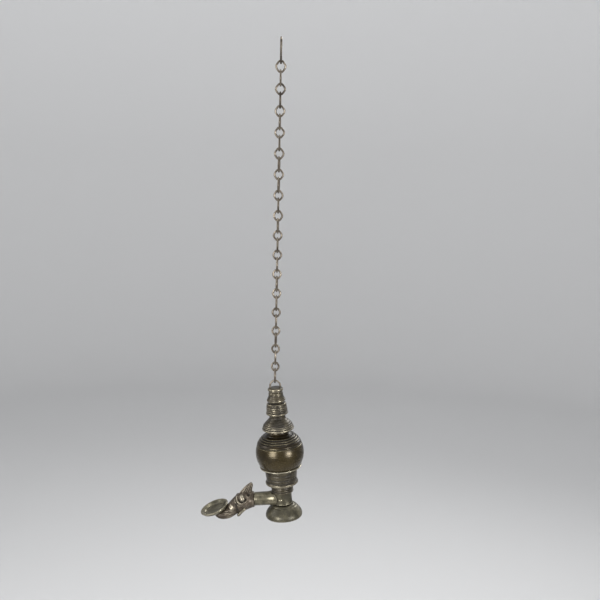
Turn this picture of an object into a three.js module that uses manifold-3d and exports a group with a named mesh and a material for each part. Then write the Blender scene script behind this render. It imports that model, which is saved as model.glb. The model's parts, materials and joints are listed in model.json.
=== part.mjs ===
// A hanging bronze oil lamp, in millimetres, +Z up, with the spout towards -X.
// A wire hook carries a hand-bent chain. The lamp on it is a turned spire over a round reservoir,
// which screws into a cup on a waisted stem. A pipe leads from the stem through a beast's head to the wick dish.
// The origin is where the hook bears on what carries it.
import * as THREE from "three";
import { mergeVertices } from "three/addons/utils/BufferGeometryUtils.js";
import Module from "manifold-3d";

const wasm = await Module();
wasm.setup();

// Fits
const seatGap = 0.3; // between two pieces that touch
const slideFit = 0.3; // round a peg in its hole
const overrun = 2; // how far a cut runs past the face that it opens
const weldDistance = 0.0001; // points nearer than this are one

// Chain
const linkCount = 32;
const linkWire = 2.3;
const firstRingPitch = 10.1; // a short round link, which faces across the spout
const lastRingPitch = 7.4;
const firstLongPitch = 14.6; // the longer link between two rings
const lastLongPitch = 13.75;
const firstLinkWidth = 13;
const lastLinkWidth = 10.4;
const ringBend = 3.6; // radius of the bends at a link's sides, on the wire's centre
const longBend = 2.2;
const handStray = 0.35; // how far a hand-bent link's pitch strays from the even fall
const handTurn = 5; // degrees that a link strays from the square crossing
const linkPlay = 0.3; // how much wider a link's end is bent than the wire that lies in it needs
const linkSides = 6;
const apexSteps = 4;
const ringSideSteps = 2;
const longSideSteps = 1;

// Hook
const hookWire = 2.6;
const hookInnerRadius = 4.7;
const hookDrop = 26.8; // from the bearing point to the middle of the eye's lowest wire
const eyeBend = 3.6; // radius of the eye on the wire's centre
const hookTipAngle = -42; // degrees round the crook from its outer side, where the tip ends
const hookSteps = 24;
const hookSides = 8;

// Loop on the cap
const loopWire = 2;
const loopWidth = 13.8;
const loopRise = 9.5; // from the cap's top to the outside of the arch
const loopFootDepth = 3;
const loopSteps = 14;

// Spire, from the top down
const capRadius = 9.2;
const capHeight = 4.9;
const upperTierRadius = 11.1;
const upperTierHeight = 11.6;
const middleTierRadius = 13.1;
const middleTierHeight = 15.8;
const lowerTierRadius = 18.9;
const lowerTierHeight = 18.4;
const rodRadius = 2.5;
const rodHeadRadius = 4.5;
const rodHeadHeight = 1.6;
const rodTopDepth = 2.6; // how far the rod reaches into the cap

// Reservoir
const globeRadius = 28.5;
const equatorToFloor = 15.9;
const equatorToRim = 10.2;
const reservoirWall = 2;
const domeHeight = 16.4;
const lipDepth = 2.4;
const lipWall = 1.4;
const neckRadius = 9;
const neckWall = 1.8;
const neckLength = 9.4; // the threaded length below the reservoir's floor
const neckFlangeRadius = 12;
const neckFlangeHeight = 1.6;
const neckFloorDepth = 2;

// Base
const ledgeRadius = 24.9;
const ledgeHeight = 1.9;
const ledgeInnerRadius = 12;
const cupRadius = 19.3;
const cupHeight = 25;
const socketFloorThickness = 3;
const washerHeight = 2.2;
const passageRadius = 4.2;
const collarRadius = 13.1;
const collarHeight = 5.4;
const stemRadius = 11.2;
const stemHeight = 14;
const stemTenonRadius = 8;
const footTenonRadius = 6;
const footPeenRadius = 7.6;
const footPeenHeight = 1.2;
const footRadius = 22.1;
const footHeight = 15.6;
const footWall = 2.6;
const footCeiling = 3; // thickness where the stem's tenon passes through

// Spout
const pipeRadius = 7.9;
const pipeFlareRadius = 9.2; // where it meets the stem
const pipeFlareLength = 9;
const pipeBore = 3.6;
const pipeTenonRadius = 6;
const pipeAxisHeight = 23;
const pipeEnd = 34; // from the lamp's axis to the head's back edge
const pipeEndSpigot = 5;
const pinRadius = 1.3;
const pinHeadRadius = 2.1;
const pinHeadHeight = 0.9;
const pinOffset = 2.8;

// Head, in the lamp's own upright frame, with distances out along the spout from the lamp's axis
const headLength = 49;
const headHeight = 23.8; // its deepest section
const headWidth = 20.8; // its widest section
const headBore = 6.3;
const crestLength = 18;
const crestRise = 14.2;
const crestThickness = 4.4;
const crestBevel = 1;
const eyeRadius = 3.2;
const browRadius = 7.8;
const browWire = 2.2;
const lipWire = 2.4;

// Dish
const dishRadius = 17.5;
const dishDepth = 6.4;
const dishOut = 82.6;
const dishHeight = 15.9; // of the middle of the rim
const dishDroop = 16.5; // degrees that the far edge hangs down
const dishRoll = 4; // degrees that the front edge hangs down
const dishNeckRadius = 2.4;
const dishNeckBore = 1.2;
const dishNeckLength = 9;
const dishNeckDrop = 0.3; // from the middle of the rim to the level neck's axis

// Facets
const turnedSides = 20;
const globeSides = 28;
const boreSides = 12;
const legHoleSides = 8;
const bowlSteps = 7;
const browSteps = 7;
const lipSteps = 5;
const headSides = 14;

// Materials
function metal(color, roughness, metalness) {
  return new THREE.MeshStandardMaterial({ color, roughness, metalness });
}
const patina = { darkBronze: 0x4a3e2a, wornBronze: 0x6b5a3a, redBronze: 0x5c4230, greenBronze: 0x5a5a44, leather: 0x3a2517 };

// Solids
function solidOf(geometry) {
  const bare = geometry.clone();
  bare.deleteAttribute("normal");
  bare.deleteAttribute("uv");
  const merged = mergeVertices(bare, weldDistance);
  const vertProperties = new Float32Array(merged.attributes.position.array);
  const triVerts = new Uint32Array(merged.index.array);
  return new wasm.Manifold(new wasm.Mesh({ numProp: 3, vertProperties, triVerts }));
}

function geometryOf(solid) {
  const mesh = solid.getMesh();
  const geometry = new THREE.BufferGeometry();
  geometry.setAttribute("position", new THREE.BufferAttribute(new Float32Array(mesh.vertProperties), 3));
  geometry.setIndex(new THREE.BufferAttribute(new Uint32Array(mesh.triVerts), 1));
  geometry.computeVertexNormals();
  return geometry;
}

function cut(geometry, ...tools) {
  return geometryOf(tools.reduce((left, tool) => left.subtract(solidOf(tool)), solidOf(geometry)));
}

function join(...geometries) {
  return geometryOf(geometries.map(solidOf).reduce((all, next) => all.add(next)));
}

// A closed outline of [radius, height] pairs turned about the Z axis, listed anticlockwise.
function turned(outline, sides = turnedSides) {
  const points = [...outline, outline[0]].map(([radius, height]) => new THREE.Vector2(radius, height));
  return new THREE.LatheGeometry(points, sides).rotateX(Math.PI / 2);
}

// Shares of a radius and a height as real pairs, from a base height up.
function scaled(shares, radius, height, base = 0) {
  return shares.map(([radiusShare, heightShare]) => [radius * radiusShare, base + height * heightShare]);
}

// A turned ring with a straight bore: its outer side runs up, and its bore closes it.
function boredTurning(outer, boreRadius, sides) {
  const bottom = outer[0][1];
  const top = outer[outer.length - 1][1];
  return turned([...outer, [boreRadius, top], [boreRadius, bottom]], sides);
}

// A plain round bar along Z from one height to another.
function bar(radius, bottom, top, sides = boreSides) {
  const geometry = new THREE.CylinderGeometry(radius, radius, top - bottom, sides);
  return geometry.rotateX(Math.PI / 2).translate(0, 0, (bottom + top) / 2);
}

// The same bar along the spout, between two distances out from the lamp's axis.
function spoutBar(radius, from, to, sides = boreSides) {
  return bar(radius, from, to, sides).rotateY(-Math.PI / 2).translate(0, 0, pipeAxisHeight);
}

function arcPoints(centreX, centreY, radius, from, to, steps) {
  return Array.from({ length: steps + 1 }, (_, step) => {
    const angle = from + ((to - from) * step) / steps;
    return [centreX + radius * Math.cos(angle), centreY + radius * Math.sin(angle)];
  });
}

// Wire bent in the XZ plane along a flat path, with square ends.
class BentWire extends THREE.Curve {
  constructor(path) {
    super();
    this.path = path;
  }
  getPoint(share) {
    const point = this.path.getPoint(share);
    return new THREE.Vector3(point.x, 0, point.y);
  }
}

function wireSection(radius, sides) {
  const corners = arcPoints(0, 0, radius, 0, 2 * Math.PI, sides).slice(0, sides);
  return new THREE.Shape(corners.map(([x, y]) => new THREE.Vector2(x, y)));
}

function bentWire(path, wire, steps, sides = linkSides) {
  return new THREE.ExtrudeGeometry(wireSection(wire / 2, sides), { steps, extrudePath: new BentWire(path) });
}

// A ring of wire without an end: each station has a point on the wire's centre line and the way out from it.
function endlessWire(stations, wire, sides) {
  const positions = stations.flatMap(({ x, z, angle }) =>
    Array.from({ length: sides }, (_, side) => {
      const turn = (2 * Math.PI * side) / sides;
      const out = (wire / 2) * Math.cos(turn);
      return [x + out * Math.cos(angle), (wire / 2) * Math.sin(turn), z + out * Math.sin(angle)];
    }).flat(),
  );
  const faces = stations.flatMap((_, ring) => {
    const next = (ring + 1) % stations.length;
    return Array.from({ length: sides }, (_, side) => {
      const beside = (side + 1) % sides;
      const [a, b] = [ring * sides + side, ring * sides + beside];
      const [c, d] = [next * sides + beside, next * sides + side];
      return [a, b, c, a, c, d];
    }).flat();
  });
  const geometry = new THREE.BufferGeometry();
  geometry.setAttribute("position", new THREE.Float32BufferAttribute(positions, 3));
  geometry.setIndex(faces);
  geometry.computeVertexNormals();
  return geometry;
}

// The centre line of a link: four bends joined by straight flanks.
function linkStations(halfWidth, halfLength, apexBend, flankBend, sideSteps) {
  const apexAt = halfLength - apexBend;
  const sideAt = halfWidth - flankBend;
  const reach = Math.hypot(apexAt, sideAt);
  const flank = Math.atan2(sideAt, apexAt) + Math.asin((flankBend - apexBend) / reach);
  const bends = [
    { x: sideAt, z: 0, radius: flankBend, from: -flank, to: flank, steps: sideSteps },
    { x: 0, z: apexAt, radius: apexBend, from: flank, to: Math.PI - flank, steps: apexSteps },
    { x: -sideAt, z: 0, radius: flankBend, from: Math.PI - flank, to: Math.PI + flank, steps: sideSteps },
    { x: 0, z: -apexAt, radius: apexBend, from: Math.PI + flank, to: 2 * Math.PI - flank, steps: apexSteps },
  ];
  return bends.flatMap((bend) =>
    Array.from({ length: bend.steps + 1 }, (_, step) => {
      const angle = bend.from + ((bend.to - bend.from) * step) / bend.steps;
      return { x: bend.x + bend.radius * Math.cos(angle), z: bend.z + bend.radius * Math.sin(angle), angle };
    }),
  );
}

// Chain: every link hangs on the lowest wire of the one above, and its own origin is that wire's centre.
function linkSize(index) {
  const ring = index % 2 === 0;
  const [firstPitch, lastPitch] = ring ? [firstRingPitch, lastRingPitch] : [firstLongPitch, lastLongPitch];
  const [sideBend, sideSteps] = ring ? [ringBend, ringSideSteps] : [longBend, longSideSteps];
  const share = index / (linkCount - 1);
  const inside = index > 0 && index < linkCount - 1;
  const stray = inside ? handStray * Math.sin(index * index) : 0;
  const pitch = firstPitch + (lastPitch - firstPitch) * share + stray;
  const width = firstLinkWidth + (lastLinkWidth - firstLinkWidth) * share;
  const turn = inside ? handTurn * Math.sin(index * (index + 2)) : 0;
  const carrierWire = index === 0 ? hookWire : linkWire;
  return { pitch, width, turn, seat: wireSeat(carrierWire, linkWire), sideBend, sideSteps };
}

// From the centre of one wire to that of the wire that hangs in it.
function wireSeat(above, below) {
  return (above + below) / 2 + seatGap;
}

function linkGeometry({ pitch, width, seat, sideBend, sideSteps }) {
  const apexBend = seat + linkPlay;
  const halfLength = (pitch + seat) / 2;
  const stations = linkStations((width - linkWire) / 2, halfLength, apexBend, sideBend, sideSteps);
  return endlessWire(stations, linkWire, linkSides).translate(0, 0, seat - halfLength);
}

// Hook: a crook over what carries the lamp, a shank that swings in to the middle, and an eye bent back on it.
function hookGeometry() {
  const crook = hookInnerRadius + hookWire / 2;
  const tip = THREE.MathUtils.degToRad(hookTipAngle);
  const eyeAt = -hookDrop + eyeBend;
  const shankBend = (hookDrop - hookInnerRadius - eyeBend) / 2;
  const path = new THREE.Path();
  path.absarc(0, -hookInnerRadius, crook, tip, Math.PI, false);
  path.bezierCurveTo(-crook, -hookInnerRadius - shankBend, -eyeBend, eyeAt + shankBend, -eyeBend, eyeAt);
  const wrap = 2 * Math.asin((hookWire + seatGap) / (2 * eyeBend));
  path.absarc(0, eyeAt, eyeBend, Math.PI, 3 * Math.PI - wrap, false);
  return bentWire(path, hookWire, hookSteps, hookSides);
}

// The reservoir's lower shell, its floor flat where it sits on the ledge.
function bowlGeometry() {
  const inner = globeRadius - reservoirWall;
  const floorTop = reservoirWall - equatorToFloor;
  const outerArc = arcPoints(
    0,
    equatorToFloor,
    globeRadius,
    Math.asin(-equatorToFloor / globeRadius),
    Math.asin(equatorToRim / globeRadius),
    bowlSteps,
  );
  const innerArc = arcPoints(0, equatorToFloor, inner, Math.asin(equatorToRim / inner), Math.asin(floorTop / inner), bowlSteps - 2);
  const hole = neckRadius + slideFit;
  return turned([...outerArc, ...innerArc, [hole, reservoirWall], [hole, 0]], globeSides);
}

const rimRadius = Math.sqrt(globeRadius ** 2 - equatorToRim ** 2);
const rimInnerRadius = Math.sqrt((globeRadius - reservoirWall) ** 2 - equatorToRim ** 2);
const domeOuterShares = [
  [0.985, 0],
  [0.99, 0.03],
  [0.955, 0.19],
  [0.883, 0.325],
  [0.897, 0.36],
  [0.818, 0.437],
  [0.739, 0.527],
  [0.754, 0.56],
  [0.663, 0.649],
  [0.58, 0.713],
  [0.597, 0.748],
  [0.56, 0.79],
  [0.46, 0.83],
  [0.445, 1],
];
const domeInnerShares = [
  [0.37, 0.75],
  [0.64, 0.54],
  [0.8, 0.34],
];

// The reservoir's upper shell, with three rounded steps up to its neck and a lip that drops into the bowl.
function domeGeometry() {
  const outer = scaled(domeOuterShares, rimRadius, domeHeight);
  const inner = scaled(domeInnerShares, rimRadius, domeHeight);
  const hole = rodRadius + slideFit;
  const ceiling = inner[0][1];
  const lipOuter = rimInnerRadius - slideFit;
  const lipInner = lipOuter - lipWall;
  const lip = [
    [lipInner, 0],
    [lipInner, -lipDepth],
    [lipOuter, -lipDepth],
    [lipOuter, 0],
  ];
  return turned([...outer, [hole, domeHeight], [hole, ceiling], ...inner, ...lip], globeSides);
}

function neckGeometry() {
  const outline = [
    [neckRadius, -neckLength],
    [neckRadius, neckFloorDepth + seatGap],
    [neckFlangeRadius, neckFloorDepth + seatGap],
    [neckFlangeRadius, neckFloorDepth + seatGap + neckFlangeHeight],
  ];
  return boredTurning(outline, neckRadius - neckWall);
}

const lowerTierShares = [
  [0.656, 0],
  [0.68, 0.055],
  [0.946, 0.085],
  [1, 0.145],
  [0.99, 0.22],
  [0.92, 0.28],
  [0.9, 0.36],
  [0.83, 0.5],
  [0.73, 0.64],
  [0.64, 0.74],
  [0.54, 0.79],
  [0.505, 1],
];
const middleTierShares = [
  [0.72, 0],
  [0.75, 0.06],
  [0.945, 0.085],
  [1, 0.157],
  [0.985, 0.24],
  [0.925, 0.31],
  [0.915, 0.45],
  [0.86, 0.61],
  [0.875, 0.72],
  [0.82, 0.815],
  [0.66, 0.86],
  [0.64, 1],
];
const upperTierShares = [
  [0.775, 0],
  [0.81, 0.045],
  [0.973, 0.075],
  [1, 0.16],
  [0.97, 0.26],
  [0.86, 0.37],
  [0.76, 0.45],
  [0.8, 0.53],
  [0.75, 0.72],
  [0.69, 0.9],
  [0.71, 1],
];
const capShares = [
  [0.87, 0],
  [0.99, 0.2],
  [0.98, 0.42],
  [0.91, 0.55],
  [1, 0.72],
  [0.97, 0.93],
  [0.85, 1],
];

function tierGeometry(shares, radius, height) {
  return boredTurning(scaled(shares, radius, height), rodRadius + slideFit);
}

function loopBend() {
  return (loopWidth - loopWire) / 2;
}

function capGeometry() {
  const blank = turned([[0, 0], ...scaled(capShares, capRadius, capHeight), [0, capHeight]]);
  const rodHole = bar(rodRadius + slideFit, -overrun, rodTopDepth + slideFit);
  const legHole = bar(loopWire / 2 + slideFit, capHeight - loopFootDepth - slideFit, capHeight + overrun, legHoleSides);
  const left = legHole.clone().translate(-loopBend(), 0, 0);
  return cut(blank, rodHole, left, legHole.translate(loopBend(), 0, 0));
}

// The loop: two legs set in the cap and an arch between them. Height 0 is the cap's top.
function loopGeometry() {
  const bend = loopBend();
  const springing = loopRise - loopWire / 2 - bend;
  const path = new THREE.Path();
  path.moveTo(bend, -loopFootDepth);
  path.lineTo(bend, springing);
  path.absarc(0, springing, bend, 0, Math.PI, false);
  path.lineTo(-bend, -loopFootDepth);
  return bentWire(path, loopWire, loopSteps, hookSides);
}

function rodGeometry(length) {
  const outline = [
    [0, -rodHeadHeight],
    [rodHeadRadius, -rodHeadHeight],
    [rodHeadRadius, 0],
    [rodRadius, 0],
    [rodRadius, length],
    [0, length],
  ];
  return turned(outline);
}

function ledgeGeometry() {
  const edgeShares = [
    [0.84, 0],
    [0.97, 0.3],
    [1, 0.6],
    [0.985, 0.9],
    [0.95, 1],
  ];
  return boredTurning(scaled(edgeShares, ledgeRadius, ledgeHeight), ledgeInnerRadius, globeSides);
}

function washerGeometry() {
  const outline = [
    [neckRadius, 0],
    [neckRadius, washerHeight],
  ];
  return boredTurning(outline, neckRadius - neckWall - seatGap);
}

const cupShares = [
  [0.7, 0],
  [0.67, 0.05],
  [0.67, 0.19],
  [0.8, 0.225],
  [0.92, 0.28],
  [0.975, 0.36],
  [0.96, 0.42],
  [0.99, 0.46],
  [1, 0.57],
  [0.985, 0.63],
  [0.95, 0.66],
  [0.97, 0.75],
  [0.975, 0.9],
  [0.99, 1],
];
const socketDepth = neckLength - ledgeHeight - seatGap + washerHeight;
const cupTenonDepth = cupHeight - socketDepth - seatGap - socketFloorThickness;
const stemTenonHeight = collarHeight + seatGap + cupTenonDepth; // above the stem's shoulder

// The cup: a threaded socket from above, a passage through its floor, and a socket for the stem's tenon below.
function cupGeometry() {
  const socket = neckRadius + slideFit;
  const socketFloor = cupHeight - socketDepth - seatGap;
  const tenonHole = stemTenonRadius + slideFit;
  const inner = [
    [socket, cupHeight],
    [socket, socketFloor],
    [passageRadius, socketFloor],
    [passageRadius, cupTenonDepth],
    [tenonHole, cupTenonDepth],
    [tenonHole, 0],
  ];
  return turned([...scaled(cupShares, cupRadius, cupHeight), ...inner]);
}

const collarShares = [
  [0.9, 0],
  [0.985, 0.12],
  [1, 0.3],
  [0.945, 0.5],
  [0.985, 0.68],
  [0.97, 0.88],
  [0.89, 1],
];

const stemShares = [
  [0.98, 0],
  [0.955, 0.15],
  [0.935, 0.5],
  [0.96, 0.85],
  [1, 1],
];

// The stem stands on the foot, with a peened tenon through it below and a bored tenon up into the cup.
function stemGeometry() {
  const peenTop = -footCeiling - seatGap - seatGap;
  const outline = [
    [0, peenTop - footPeenHeight],
    [footPeenRadius, peenTop - footPeenHeight],
    [footPeenRadius, peenTop],
    [footTenonRadius, peenTop],
    [footTenonRadius, 0],
    ...scaled(stemShares, stemRadius, stemHeight),
    [stemTenonRadius, stemHeight],
    [stemTenonRadius, stemHeight + stemTenonHeight],
    [0, stemHeight + stemTenonHeight],
  ];
  const axis = pipeAxisHeight - stemBottom;
  const bore = bar(passageRadius, axis - pipeTenonRadius, stemHeight + stemTenonHeight + overrun);
  const socket = spoutBar(pipeTenonRadius + slideFit, -seatGap, stemRadius + overrun, turnedSides);
  const pinHole = crossPin(pinRadius + slideFit, stemRadius + overrun);
  return cut(turned(outline), bore, socket.translate(0, 0, -stemBottom), pinHole.translate(0, 0, -stemBottom));
}

// A bar across the spout at the pin's place, reaching equally far to the front and the back.
function crossPin(radius, reach) {
  return bar(radius, -reach, reach, 8).rotateX(Math.PI / 2).translate(-pinOffset, 0, pipeAxisHeight);
}

const footOuterShares = [
  [0.93, 0],
  [0.96, 0.05],
  [0.985, 0.19],
  [1, 0.36],
  [0.985, 0.45],
  [0.93, 0.57],
  [0.84, 0.71],
  [0.74, 0.83],
  [0.66, 0.925],
  [0.6, 1],
];

function footGeometry() {
  const hole = footTenonRadius + slideFit;
  const ceiling = footHeight - footCeiling;
  const inner = [
    [hole, footHeight],
    [hole, ceiling],
    [footRadius * 0.7 - footWall, ceiling],
    [footRadius * 0.74 - footWall, footHeight * 0.5],
    [footRadius * 0.93 - footWall, footHeight * 0.26],
    [footRadius - footWall, 0],
  ];
  return turned([...scaled(footOuterShares, footRadius, footHeight), ...inner]);
}

const flareMidShare = 0.3; // of the flare's width, left halfway along it

// The pipe: its shoulder is hollowed to sit on the stem, under the collar and over the foot.
function pipeGeometry() {
  const flare = pipeFlareRadius - pipeRadius;
  const outline = [
    [0, 0],
    [pipeFlareRadius, 0],
    [pipeFlareRadius, stemRadius],
    [pipeRadius + flare * flareMidShare, stemRadius + pipeFlareLength / 2],
    [pipeRadius, stemRadius + pipeFlareLength],
    [pipeRadius, pipeEnd],
    [0, pipeEnd],
  ];
  const body = turned(outline).rotateY(-Math.PI / 2).translate(0, 0, pipeAxisHeight);
  const stemRoom = bar(stemRadius + seatGap, 0, lampHeight, turnedSides);
  const collarRoom = bar(collarRadius + seatGap, collarBottom - seatGap, lampHeight, turnedSides);
  const footRoom = bar(footRadius, -overrun, footHeight + seatGap, turnedSides);
  const shouldered = cut(body, stemRoom, collarRoom, footRoom);
  const tenon = spoutBar(pipeTenonRadius, 0, stemRadius + pipeFlareLength, turnedSides);
  const spigot = spoutBar(headBore - slideFit, pipeEnd - overrun, pipeEnd + pipeEndSpigot, turnedSides);
  const bore = spoutBar(pipeBore, -overrun, pipeEnd + pipeEndSpigot + overrun);
  const pinHole = crossPin(pinRadius + slideFit, stemRadius + overrun);
  return cut(join(shouldered, tenon, spigot), bore, pinHole);
}

function pinGeometry() {
  const reach = stemRadius * stemShares[2][0] + seatGap;
  const ends = [-1, 1].map((side) =>
    bar(pinHeadRadius, 0, pinHeadHeight, 8)
      .rotateX((-side * Math.PI) / 2)
      .translate(-pinOffset, side * reach, pipeAxisHeight),
  );
  return join(crossPin(pinRadius, reach + pinHeadHeight / 2), ...ends);
}

// The head's cross-sections from the pipe to the tip of the lower jaw: shares of the head's length for the place,
// of its height for the middle above the pipe's axis, and of half its height and half its width for the section.
const headSectionShares = [
  [0, -0.01, 0.75, 0.86],
  [0.09, -0.02, 0.84, 0.88],
  [0.19, -0.055, 0.92, 0.92],
  [0.3, -0.1, 0.99, 0.9],
  [0.4, -0.185, 0.96, 0.84],
  [0.5, -0.325, 0.9, 0.8],
  [0.58, -0.465, 0.82, 0.84],
  [0.68, -0.6, 0.66, 0.96],
  [0.78, -0.64, 0.56, 1],
  [0.88, -0.635, 0.46, 0.87],
  [0.96, -0.615, 0.29, 0.56],
  [1, -0.6, 0.1, 0.2],
];

function loft(sections, sides) {
  const rings = sections.map(([out, middle, halfHeight, halfWidth]) =>
    arcPoints(0, 0, 1, 0, 2 * Math.PI, sides)
      .slice(0, sides)
      .map(([across, up]) => [-out, across * halfWidth, middle + up * halfHeight]),
  );
  const ends = [sections[0], sections[sections.length - 1]].map(([out, middle]) => [-out, 0, middle]);
  const positions = [...rings.flat(), ...ends].flat();
  const count = rings.length * sides;
  const faces = [];
  for (let side = 0; side < sides; side += 1) {
    const beside = (side + 1) % sides;
    for (let ring = 0; ring < rings.length - 1; ring += 1) {
      const [a, b] = [ring * sides + side, ring * sides + beside];
      faces.push(a, a + sides, b, b, a + sides, b + sides);
    }
    faces.push(count, side, beside);
    faces.push(count + 1, count - sides + beside, count - sides + side);
  }
  const geometry = new THREE.BufferGeometry();
  geometry.setAttribute("position", new THREE.Float32BufferAttribute(positions, 3));
  geometry.setIndex(faces);
  return geometry;
}

const crestShares = [
  [0.07, -0.26],
  [0.04, 0.08],
  [0.15, 0.29],
  [0.34, 0.54],
  [0.59, 0.81],
  [0.84, 0.99],
  [0.96, 0.95],
  [1, 0.75],
  [0.9, 0.4],
  [0.91, 0.06],
  [0.79, -0.26],
];
const crestPlaceShares = [0.375, 0.28]; // the crest's front lower corner

// A place on the head: its share of the head's length out from the pipe, and of its height above the pipe's axis.
function onHead([outShare, upShare]) {
  return { x: -pipeEnd - outShare * headLength, z: pipeAxisHeight + upShare * headHeight };
}

function crestGeometry() {
  const outline = new THREE.Shape();
  const points = crestShares.map(([alongShare, upShare]) => new THREE.Vector2(alongShare * crestLength, upShare * crestRise));
  outline.moveTo(points[0].x, points[0].y);
  outline.splineThru(points.slice(1));
  const geometry = new THREE.ExtrudeGeometry(outline, {
    depth: crestThickness - 2 * crestBevel,
    bevelThickness: crestBevel,
    bevelSize: crestBevel,
    bevelOffset: -crestBevel,
    bevelSegments: 1,
    curveSegments: 2,
    steps: 1,
  });
  const corner = onHead(crestPlaceShares);
  return geometry.rotateX(Math.PI / 2).translate(corner.x, crestThickness / 2 - crestBevel, corner.z);
}

// A ridge of round wire along a flat path, laid on one side of the head.
function ridge(path, wire, across, steps) {
  return bentWire(path, wire, steps).translate(0, across, 0);
}

const eyePlaceShares = [0.275, 0.19];
const eyeSpreadShare = 0.35; // of the head's width, from the middle plane to the ball's centre

function eyeGeometry(side) {
  const centre = onHead(eyePlaceShares);
  return new THREE.SphereGeometry(eyeRadius, 9, 6).translate(centre.x, side * eyeSpreadShare * headWidth, centre.z);
}

function browGeometry(side) {
  const centre = onHead(eyePlaceShares);
  const path = new THREE.Path();
  path.absarc(centre.x, centre.z, browRadius, Math.PI * 0.98, Math.PI * 1.4, false);
  return ridge(path, browWire, side * eyeSpreadShare * headWidth, browSteps);
}

const lipSpreadShare = 0.36; // of the head's width
const lipShares = [
  [0.24, -0.25],
  [0.33, -0.36],
  [0.42, -0.5],
  [0.48, -0.62],
];

function lipGeometry(side) {
  const points = lipShares.map(onHead).map(({ x, z }) => new THREE.Vector2(x, z));
  const path = new THREE.Path();
  path.moveTo(points[0].x, points[0].y);
  path.splineThru(points.slice(1));
  return ridge(path, lipWire, side * lipSpreadShare * headWidth, lipSteps);
}

// The dish in its own frame: its rim's middle is the origin.
const dishOuterShares = [
  [0.3, -1],
  [0.62, -0.86],
  [0.86, -0.52],
  [0.99, -0.08],
  [0.985, 0.06],
  [0.94, 0.1],
];
const dishInnerShares = [
  [0.88, 0.02],
  [0.76, -0.32],
  [0.5, -0.52],
  [0.25, -0.6],
];

function dishGeometry() {
  const outer = scaled(dishOuterShares, dishRadius, dishDepth);
  const inner = scaled(dishInnerShares, dishRadius, dishDepth);
  const pan = turned([[0, -dishDepth], ...outer, ...inner, [0, inner[inner.length - 1][1]]]);
  const neckEnd = dishOut - dishRadius - dishNeckLength;
  const neck = levelNeck(dishNeckRadius, neckEnd, dishOut - dishRadius * neckRootShare);
  const bore = levelNeck(dishNeckBore, neckEnd - overrun, dishOut - dishRadius * boreMouthShare);
  return cut(join(placeDish(pan), neck), bore);
}

// The neck runs level from the dish's wall back into the head.
const neckRootShare = 0.8; // of the dish's radius
const boreMouthShare = 0.4;

function levelNeck(radius, from, to) {
  return spoutBar(radius, from, to).translate(0, 0, dishHeight - dishNeckDrop - pipeAxisHeight);
}

// The dish's outside with room round it, for the seat in the lower jaw.
function dishRoom() {
  const outer = scaled(dishOuterShares, dishRadius, dishDepth).map(([radius, height]) => [radius + seatGap, height]);
  const top = dishRadius;
  return turned([[0, -dishDepth - seatGap], ...outer.slice(0, 4), [dishRadius + seatGap, top], [0, top]]);
}

function placeDish(geometry) {
  return geometry
    .rotateY(-THREE.MathUtils.degToRad(dishDroop))
    .rotateX(THREE.MathUtils.degToRad(dishRoll))
    .translate(-dishOut, 0, dishHeight);
}

function headGeometry() {
  const sections = headSectionShares.map(([outShare, middleShare, heightShare, widthShare]) => [
    pipeEnd + seatGap + outShare * headLength,
    pipeAxisHeight + middleShare * headHeight,
    (heightShare * headHeight) / 2,
    (widthShare * headWidth) / 2,
  ]);
  const body = loft(sections, headSides);
  const eyes = [-1, 1].map(eyeGeometry);
  const ridges = [-1, 1].flatMap((side) => [browGeometry(side), lipGeometry(side)]);
  const carved = join(body, crestGeometry(), ...eyes, ...ridges);
  const boreEnd = pipeEnd + pipeEndSpigot + overrun;
  const bore = spoutBar(headBore, pipeEnd - overrun, boreEnd, turnedSides);
  const throat = throatGeometry(boreEnd);
  const neckEnd = dishOut - dishRadius - dishNeckLength - seatGap;
  const neckRoom = levelNeck(dishNeckRadius + slideFit, neckEnd, dishOut - dishRadius * neckRootShare);
  return cut(carved, bore, throat, neckRoom, placeDish(dishRoom()));
}

// The hollow inside the head, from the pipe's spigot to the dish's neck.
function throatGeometry(start) {
  const end = dishOut - dishRadius - dishNeckLength + overrun;
  const endHeight = dishHeight - dishNeckDrop;
  const sections = [
    [start - overrun, pipeAxisHeight, headBore * 0.94, headBore * 0.94],
    [start + (end - start) * 0.5, (pipeAxisHeight + endHeight) / 2, headBore * 0.9, headBore * 0.9],
    [end, endHeight, dishNeckRadius, dishNeckRadius],
  ];
  return loft(sections, boreSides);
}

// Heights of the lamp's pieces above the foot's lower edge
const stemBottom = footHeight + seatGap;
const collarBottom = stemBottom + stemHeight + seatGap;
const cupBottom = collarBottom + collarHeight + seatGap;
const ledgeBottom = cupBottom + cupHeight + seatGap;
const bowlBottom = ledgeBottom + ledgeHeight + seatGap;
const domeBottom = bowlBottom + equatorToFloor + equatorToRim + seatGap;
const lowerTierBottom = domeBottom + domeHeight + seatGap;
const middleTierBottom = lowerTierBottom + lowerTierHeight + seatGap;
const upperTierBottom = middleTierBottom + middleTierHeight + seatGap;
const capBottom = upperTierBottom + upperTierHeight + seatGap;
const capTop = capBottom + capHeight;
const lampHeight = capTop + loopRise;
const rodBottom = domeBottom + domeHeight * domeInnerShares[0][1] - seatGap;
const washerBottom = cupBottom + cupHeight - socketDepth;

function piece(name, geometry, color, roughness = 0.5, metalness = 0.85) {
  const mesh = new THREE.Mesh(geometry, metal(color, roughness, metalness));
  mesh.name = name;
  return mesh;
}

function raised(mesh, height) {
  mesh.position.z = height;
  return mesh;
}

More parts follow.
